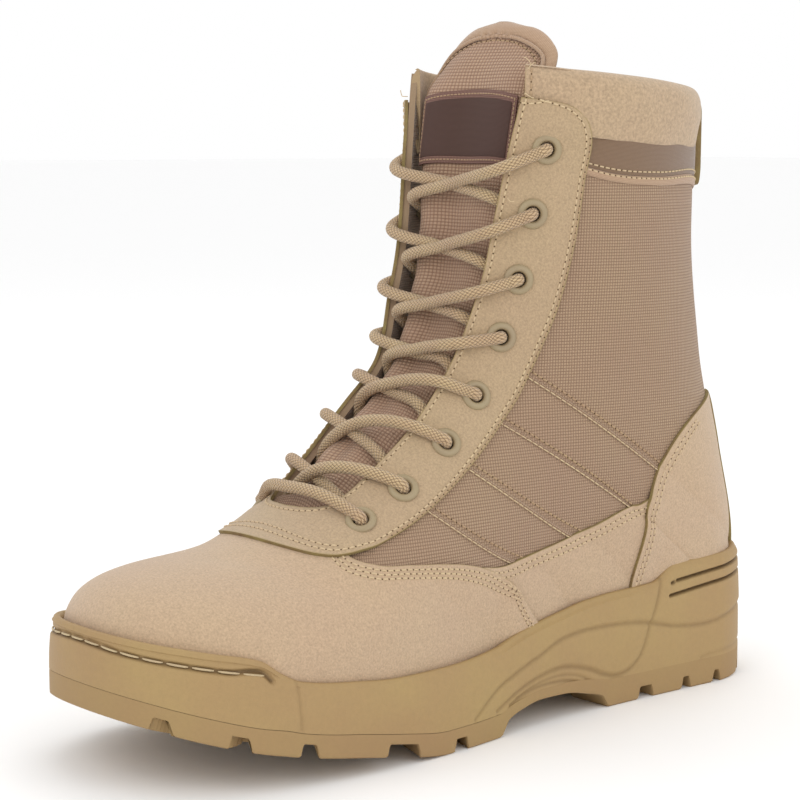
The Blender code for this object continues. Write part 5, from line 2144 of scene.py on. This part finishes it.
def parted(t):
    """The share of the gap that shows between the two rubbers, from the arch forward."""
    return soft((t - 150.0) / 16.0)


def tread_wall(w, v):
    k = ring_index(w)
    row = v * SIDE_ROWS
    t = loop_t[k]
    edge_t = ORIGIN_T - (loop[k, 1] + loop_out[k, 1] * TREAD_OUT)
    low = ease(SOLE, "tread", t) + tread_lift(edge_t, np.zeros(len(k)), loop[k, 0])
    high = joint_z[k] - 0.16 * parted(t)
    tuck_in = 0.2 + 0.1 * parted(t) * (row >= SIDE_ROWS - 0.5)
    out = TREAD_OUT - np.interp(row, (0, 1, 2), (0.8, 0.1, 0.0)) - tuck_in
    return set_out(k, out, low + (high - low) * np.interp(row, (0, 1, 2, SIDE_ROWS), (0.0, 0.06, 0.2, 1.0)))


side_wall = pulled("outsole_side", LOOP, SIDE_ROWS, tread_wall)
tread = bed("outsole_tread", tread_height, TREAD_OUT - 1.0, 60)
lid = bed("outsole_lid", level(joint_z - 0.35 * parted(loop_t)), TREAD_OUT - 0.35, 6)
outsole = joined("cup_outsole", side_wall, tread, lid)
clad(outsole, tread_rubber)
closed(outsole, 0.00003, fill=False)
done(outsole, "sole_rubber", "outsole", smooth=30.0)

# %% [markdown]
# ## Insole
#
# A loose foam insole with a cloth face lies in the boot. It is domed a little toward its edges, and its
# edge is rounded.

# %% Insole
INSOLE_RINGS = table(
    "out   up",
    (-7.6, 0.4),
    (-7.0, 1.6),
    (-7.3, 3.2),
    (-8.4, 4.0),
    (-10.5, 4.1),
    (-14.0, 3.9),
)
INSOLE_STEPS = len(INSOLE_RINGS["up"]) - 1


def insole_edge(w, v):
    k = ring_index(w)
    row = np.rint(v * INSOLE_STEPS).astype(int)
    return set_out(k, INSOLE_RINGS["out"][row], loop[k, 2] + INSOLE_RINGS["up"][row])


def insole_face(name, ring):
    """The insole's upper or lower face, inside one of its rings."""
    return bed(name, level(loop[:, 2] + INSOLE_RINGS["up"][ring]), INSOLE_RINGS["out"][ring], 8)


insole_side = pulled("insole_side", LOOP, INSOLE_STEPS, insole_edge)
insole = joined("cloth_insole", insole_side, insole_face("insole_top", -1), insole_face("insole_low", 0))
clad(insole, lining_cloth)
closed(insole, 0.00003, fill=False)
done(insole, "lining", "insole", smooth=60.0)

# %% [markdown]
# ## Stitches
#
# Seams are what hold the boot together, and they show everywhere as short light dashes with a dark
# needle hole between each two. One stitch is a thin cylinder whose middle is arched by scaling its rings
# and whose ends dip into the leather; one hole is a small disc whose dark colour is painted shade for
# the hole. They are modelled once, and a seam lays copies of them along a line on the piece, all joined
# in one mesh.

# %% One stitch
STITCH_PITCH = 2.5
THREAD_RADIUS = 0.34


def stitch_pattern(length, radius):
    """The points and faces of one stitch: along x, standing up in z."""
    bpy.ops.object.select_all(action="DESELECT")
    size = {"radius": radius * MM, "depth": length * MM}
    bpy.ops.mesh.primitive_cylinder_add(vertices=6, rotation=(0.0, math.pi / 2, 0.0), **size)
    dash = bpy.context.object
    bpy.ops.object.transform_apply(rotation=True)
    bpy.ops.object.mode_set(mode="EDIT")
    for cut_at in (-0.34, 0.0, 0.34):
        bpy.ops.mesh.select_all(action="SELECT")
        bpy.ops.mesh.bisect(plane_co=(cut_at * length * MM, 0.0, 0.0), plane_no=(1.0, 0.0, 0.0))
    bpy.ops.object.mode_set(mode="OBJECT")
    points = np.array([v.co[:] for v in dash.data.vertices]) / MM
    faces = [tuple(f.vertices) for f in dash.data.polygons]
    bpy.data.objects.remove(dash, do_unlink=True)
    along = np.abs(points[:, 0]) / (length / 2)
    thin = np.where(along > 0.9, 0.6, np.where(along > 0.6, 0.95, 1.0))
    points[:, 1] *= thin
    points[:, 2] = points[:, 2] * thin + radius * (0.45 - 1.2 * along**3)
    return points, faces


def hole_pattern(radius):
    """The points and faces of one needle hole: a small disc with a slanted rim, whose dark colour is painted
    shade.
    """
    turn = np.arange(6) * math.pi / 3
    rim = np.stack([np.cos(turn) * radius, np.sin(turn) * radius * 1.15, np.full(6, -0.05)], axis=1)
    top = rim * (0.6, 0.6, 0.0) + (0.0, 0.0, 0.07)
    faces = [(k, (k + 1) % 6, (k + 1) % 6 + 6, k + 6) for k in range(6)] + [tuple(range(6, 12))]
    return np.concatenate([rim, top]), faces


HOLE = hole_pattern(0.36)
LOOK_AHEAD = 0.3  # a seam's direction is read this far before and behind
patterns = {}


def seam(name, rows, pitch=STITCH_PITCH, radius=THREAD_RADIUS, finish=thread, share=0.80, holes=True):
    """Sews rows, each (points, directions) along a line, with stitches and needle holes, as one mesh."""
    size = (round(pitch * share, 3), radius)
    if size not in patterns:
        patterns[size] = stitch_pattern(*size)
    sets = []
    for points, away in rows:
        run = lengths(points[None])[0]
        count = max(int(run[-1] / pitch), 1)
        for pattern, kind, phase in ((patterns[size], 0, 0.5), (HOLE, 1, 0.0)):
            if kind and not holes:
                continue
            at = (np.arange(count) + phase) * run[-1] / count
            place = along_line(points, run, at)
            along = along_line(points, run, at + LOOK_AHEAD) - along_line(points, run, at - LOOK_AHEAD)
            along /= np.linalg.norm(along, axis=1)[:, None]
            across = np.cross(along_line(away, run, at), along)
            across /= np.linalg.norm(across, axis=1)[:, None]
            up = np.cross(along, across)
            shape, faces = pattern
            spread = (
                place[:, None]
                + shape[None, :, 0:1] * along[:, None]
                + shape[None, :, 1:2] * across[:, None]
                + shape[None, :, 2:3] * up[:, None]
            )
            sets.append((spread.reshape(-1, 3), faces, len(shape), count, kind))
    points = np.concatenate([s[0] for s in sets]) * MM
    faces = []
    kinds = []
    start = 0
    for _, pattern_faces, size_of, count, kind in sets:
        for k in range(count):
            base = start + k * size_of
            faces.extend(tuple(base + c for c in face) for face in pattern_faces)
            kinds.extend([kind] * len(pattern_faces))
        start += size_of * count
    mesh = bpy.data.meshes.new(name)
    mesh.from_pydata(points.tolist(), [], faces)
    mesh.materials.append(finish)
    mesh.materials.append(needle_hole_shade)
    mesh.polygons.foreach_set("material_index", np.array(kinds, dtype=np.int32))
    obj = bpy.data.objects.new(name, mesh)
    bpy.context.scene.collection.objects.link(obj)
    return done(obj, "lace", smooth=60.0)


# %% Lines for the seams to follow
ACROSS = 50  # places across a piece at which its width is measured


def beside_edge(spot, distance, far=False, start=0.0, stop=1.0, count=500):
    """A line at a distance from the v = 0 edge of a piece, or from its v = 1 edge with far."""
    w = np.linspace(start, stop, count)
    fine = np.linspace(0, 1, ACROSS)
    if far:
        fine = fine[::-1]
    run = lengths(spot(np.repeat(w, ACROSS), np.tile(fine, count))[0].reshape(count, ACROSS, 3))
    reach = distance(w) if callable(distance) else np.full(count, float(distance))
    return spot(w, np.array([np.interp(reach[k], run[k], fine) for k in range(count)]))


def beside_end(spot, distance, at_end=False):
    """The same beside the w = 0 end of a piece, or beside its w = 1 end."""
    count = 200
    v = np.linspace(0.02, 0.98, count)
    fine = np.linspace(0, 0.35, ACROSS)
    if at_end:
        fine = 1 - fine
    run = lengths(spot(np.tile(fine, count), np.repeat(v, ACROSS))[0].reshape(count, ACROSS, 3))
    return spot(np.array([np.interp(distance, run[k], fine) for k in range(count)]), v)


# %% Seams on the facings, vamp, foxings and counter
def front_row(low, more):
    return lambda w: low + more * soft(1.0 - np.abs(w - 0.5) / 0.075)


rows = [
    beside_edge(facing_spot, 2.2, True, 0.0, 0.40, count=900),
    beside_edge(facing_spot, 2.2, True, 0.60, 1.0, count=900),
    beside_edge(facing_spot, 2.0, count=1400),
    beside_end(facing_spot, 2.0),
    beside_end(facing_spot, 2.0, True),
    beside_edge(facing_spot, front_row(2.2, 2.6), True, 0.40, 0.60),
    beside_edge(facing_spot, front_row(4.2, 3.6), True, 0.43, 0.57),
]
seam("facing_stitches", rows)
spans = ((0.04, 0.39), (0.61, 0.96))
rows = [beside_edge(facing_spot, 0.7, True, start, stop, count=900) for start, stop in spans]
seam("facing_edge_stitches", rows, 2.4, 0.27, dark_thread)
rows = []
for start, stop in ((0.0, 0.36), (0.64, 1.0)):
    for distance in (2.0, 3.8, 5.6):
        rows.append(beside_edge(vamp_spot, distance, True, start, stop))
for at_end in (False, True):
    for distance in (3.4, 5.4):
        rows.append(beside_end(vamp_spot, distance, at_end))
seam("vamp_stitches", rows)
rows = []
for side in (1, -1):
    for distance in (2.4, 4.7):
        rows.append(beside_edge(foxings[side], distance, True, 0.02, 1.0))
        rows.append(beside_edge(counters[side], distance + 0.6, False, 0.0, 0.82))
seam("foxing_and_counter_stitches", rows)

# %% Seams on the quilting, band and collar
rows = []
folds = []
for side in (1, -1):
    for k in range(len(QUILT["line"])):
        arc = np.linspace(QUILT_START - TUCK_TAIL, QUILT["end"][k] + TUCK_TAIL, 200)
        here = side * arc * side_share(quilt_line(k, arc), side)
        u = quilt_line(k, arc) + 0.065
        rows.append(on_last(u, here, skin(u, here)))
        u = quilt_line(k, arc) - 0.055
        folds.append(on_last(u, here, skin(u, here) + 0.5))
seam("quilt_stitches", rows, 2.3, 0.36, dark_thread)
seam("tuck_stitches", folds, 2.6, 0.26, share=0.86, holes=False)
w = np.linspace(0, 1, 900)
rows = [welt_spot(w, np.full(900, 0.25)), band_spot(w, np.full(900, 0.9))]
seam("band_stitches", rows, 2.4, 0.28)
rows = []
for end in (0.0085, 0.9915):
    rows.append(collar_spot(np.full(60, end), np.linspace(2.2, 6.6, 60) / COLLAR_STEPS))
seam("collar_end_stitches", rows, 2.6, 0.34, dark_thread)


# %% Seams on the tongue, its label and in the toe groove
def around(spot, inset_w, inset_v):
    """A line right round a piece, inside its border."""
    side_w = np.linspace(inset_w, 1 - inset_w, 120)
    side_v = np.linspace(inset_v, 1 - inset_v, 60)
    one = np.ones(120)
    w = np.concatenate([side_w, (1 - inset_w) * one[:60], side_w[::-1], inset_w * one[:60]])
    v = np.concatenate([inset_v * one, side_v, (1 - inset_v) * one, side_v[::-1]])
    return spot(w, v)


rows = [around(collar_strip_spot, 0.13, 0.05)]
rows += [beside_edge(heel_strip_spot, 2.2, far, 0.05, 0.95) for far in (False, True)]
seam("back_strip_stitches", rows, 2.6, 0.3)
seam("label_stitches", [around(label_spot, 0.025, 0.055)], 1.6, 0.22, dark_thread, holes=False)
inner_u = seam_line[:, 0] - 0.085
inner_arc = seam_line[:, 1] * 0.955
rows = [on_tongue(inner_u, inner_arc, tongue_relief(inner_u, inner_arc))]
seam("tongue_stitches", rows, 2.4, 0.26, dark_thread)
first = int(np.argmax(wall_t[: HALF_LOOP + 1] > TOE_GROOVE["t"][1]))
span = np.arange(first, LOOP - first + 1)
groove_points = loop[span] + loop_out[span] * (WALL_OUT - 0.85)
groove_points[:, 2] = np.interp(wall_t[span], TOE_GROOVE["t"], TOE_GROOVE["z"])
seam("toe_stitches", [(groove_points, loop_out[span])], 8.2, 0.36, welt_thread, share=0.84, holes=False)

# %% [markdown]
# ## Loose thread ends
#
# A few ends of thread are left where seams start and stop. Each is a very thin cord along four or five
# points, and it makes the seams look sewn rather than drawn.

# %% Thread ends
ENDS = table(
    "u      arc   reach lean rise",
    (13.02, 37.6, 6.0, 2.5, 2.0),
    (12.93, 37.0, 4.5, -2.0, 3.0),
    (12.60, 36.2, 3.5, -3.0, -0.5),
    (12.62, -36.0, 5.5, 3.0, 2.5),
    (11.20, 32.5, 2.5, -2.0, -1.6),
)
ends = []
for k, (u, arc, reach, lean, rise) in enumerate(zip(*ENDS.values())):
    start, away = (value[0] for value in on_last([u], [arc], 3.6))
    aside = np.cross(away, (0.0, 0.0, 1.0))
    knots = [start - away * 2.0]
    for share in (0.0, 0.4, 0.75, 1.0):
        knot = start + away * reach * 0.25 * share + aside * lean * share
        knot[2] += rise * share + 0.6 * math.sin(share * 3.0 + k)
        knots.append(knot)
    ends.append(swept(f"thread_end_{k}", smooth_line(knots)(np.linspace(0, 1, 14)), 0.17, 6, thread))
loose_ends = joined("thread_ends", *ends)
done(loose_ends, "lace", smooth=80.0)
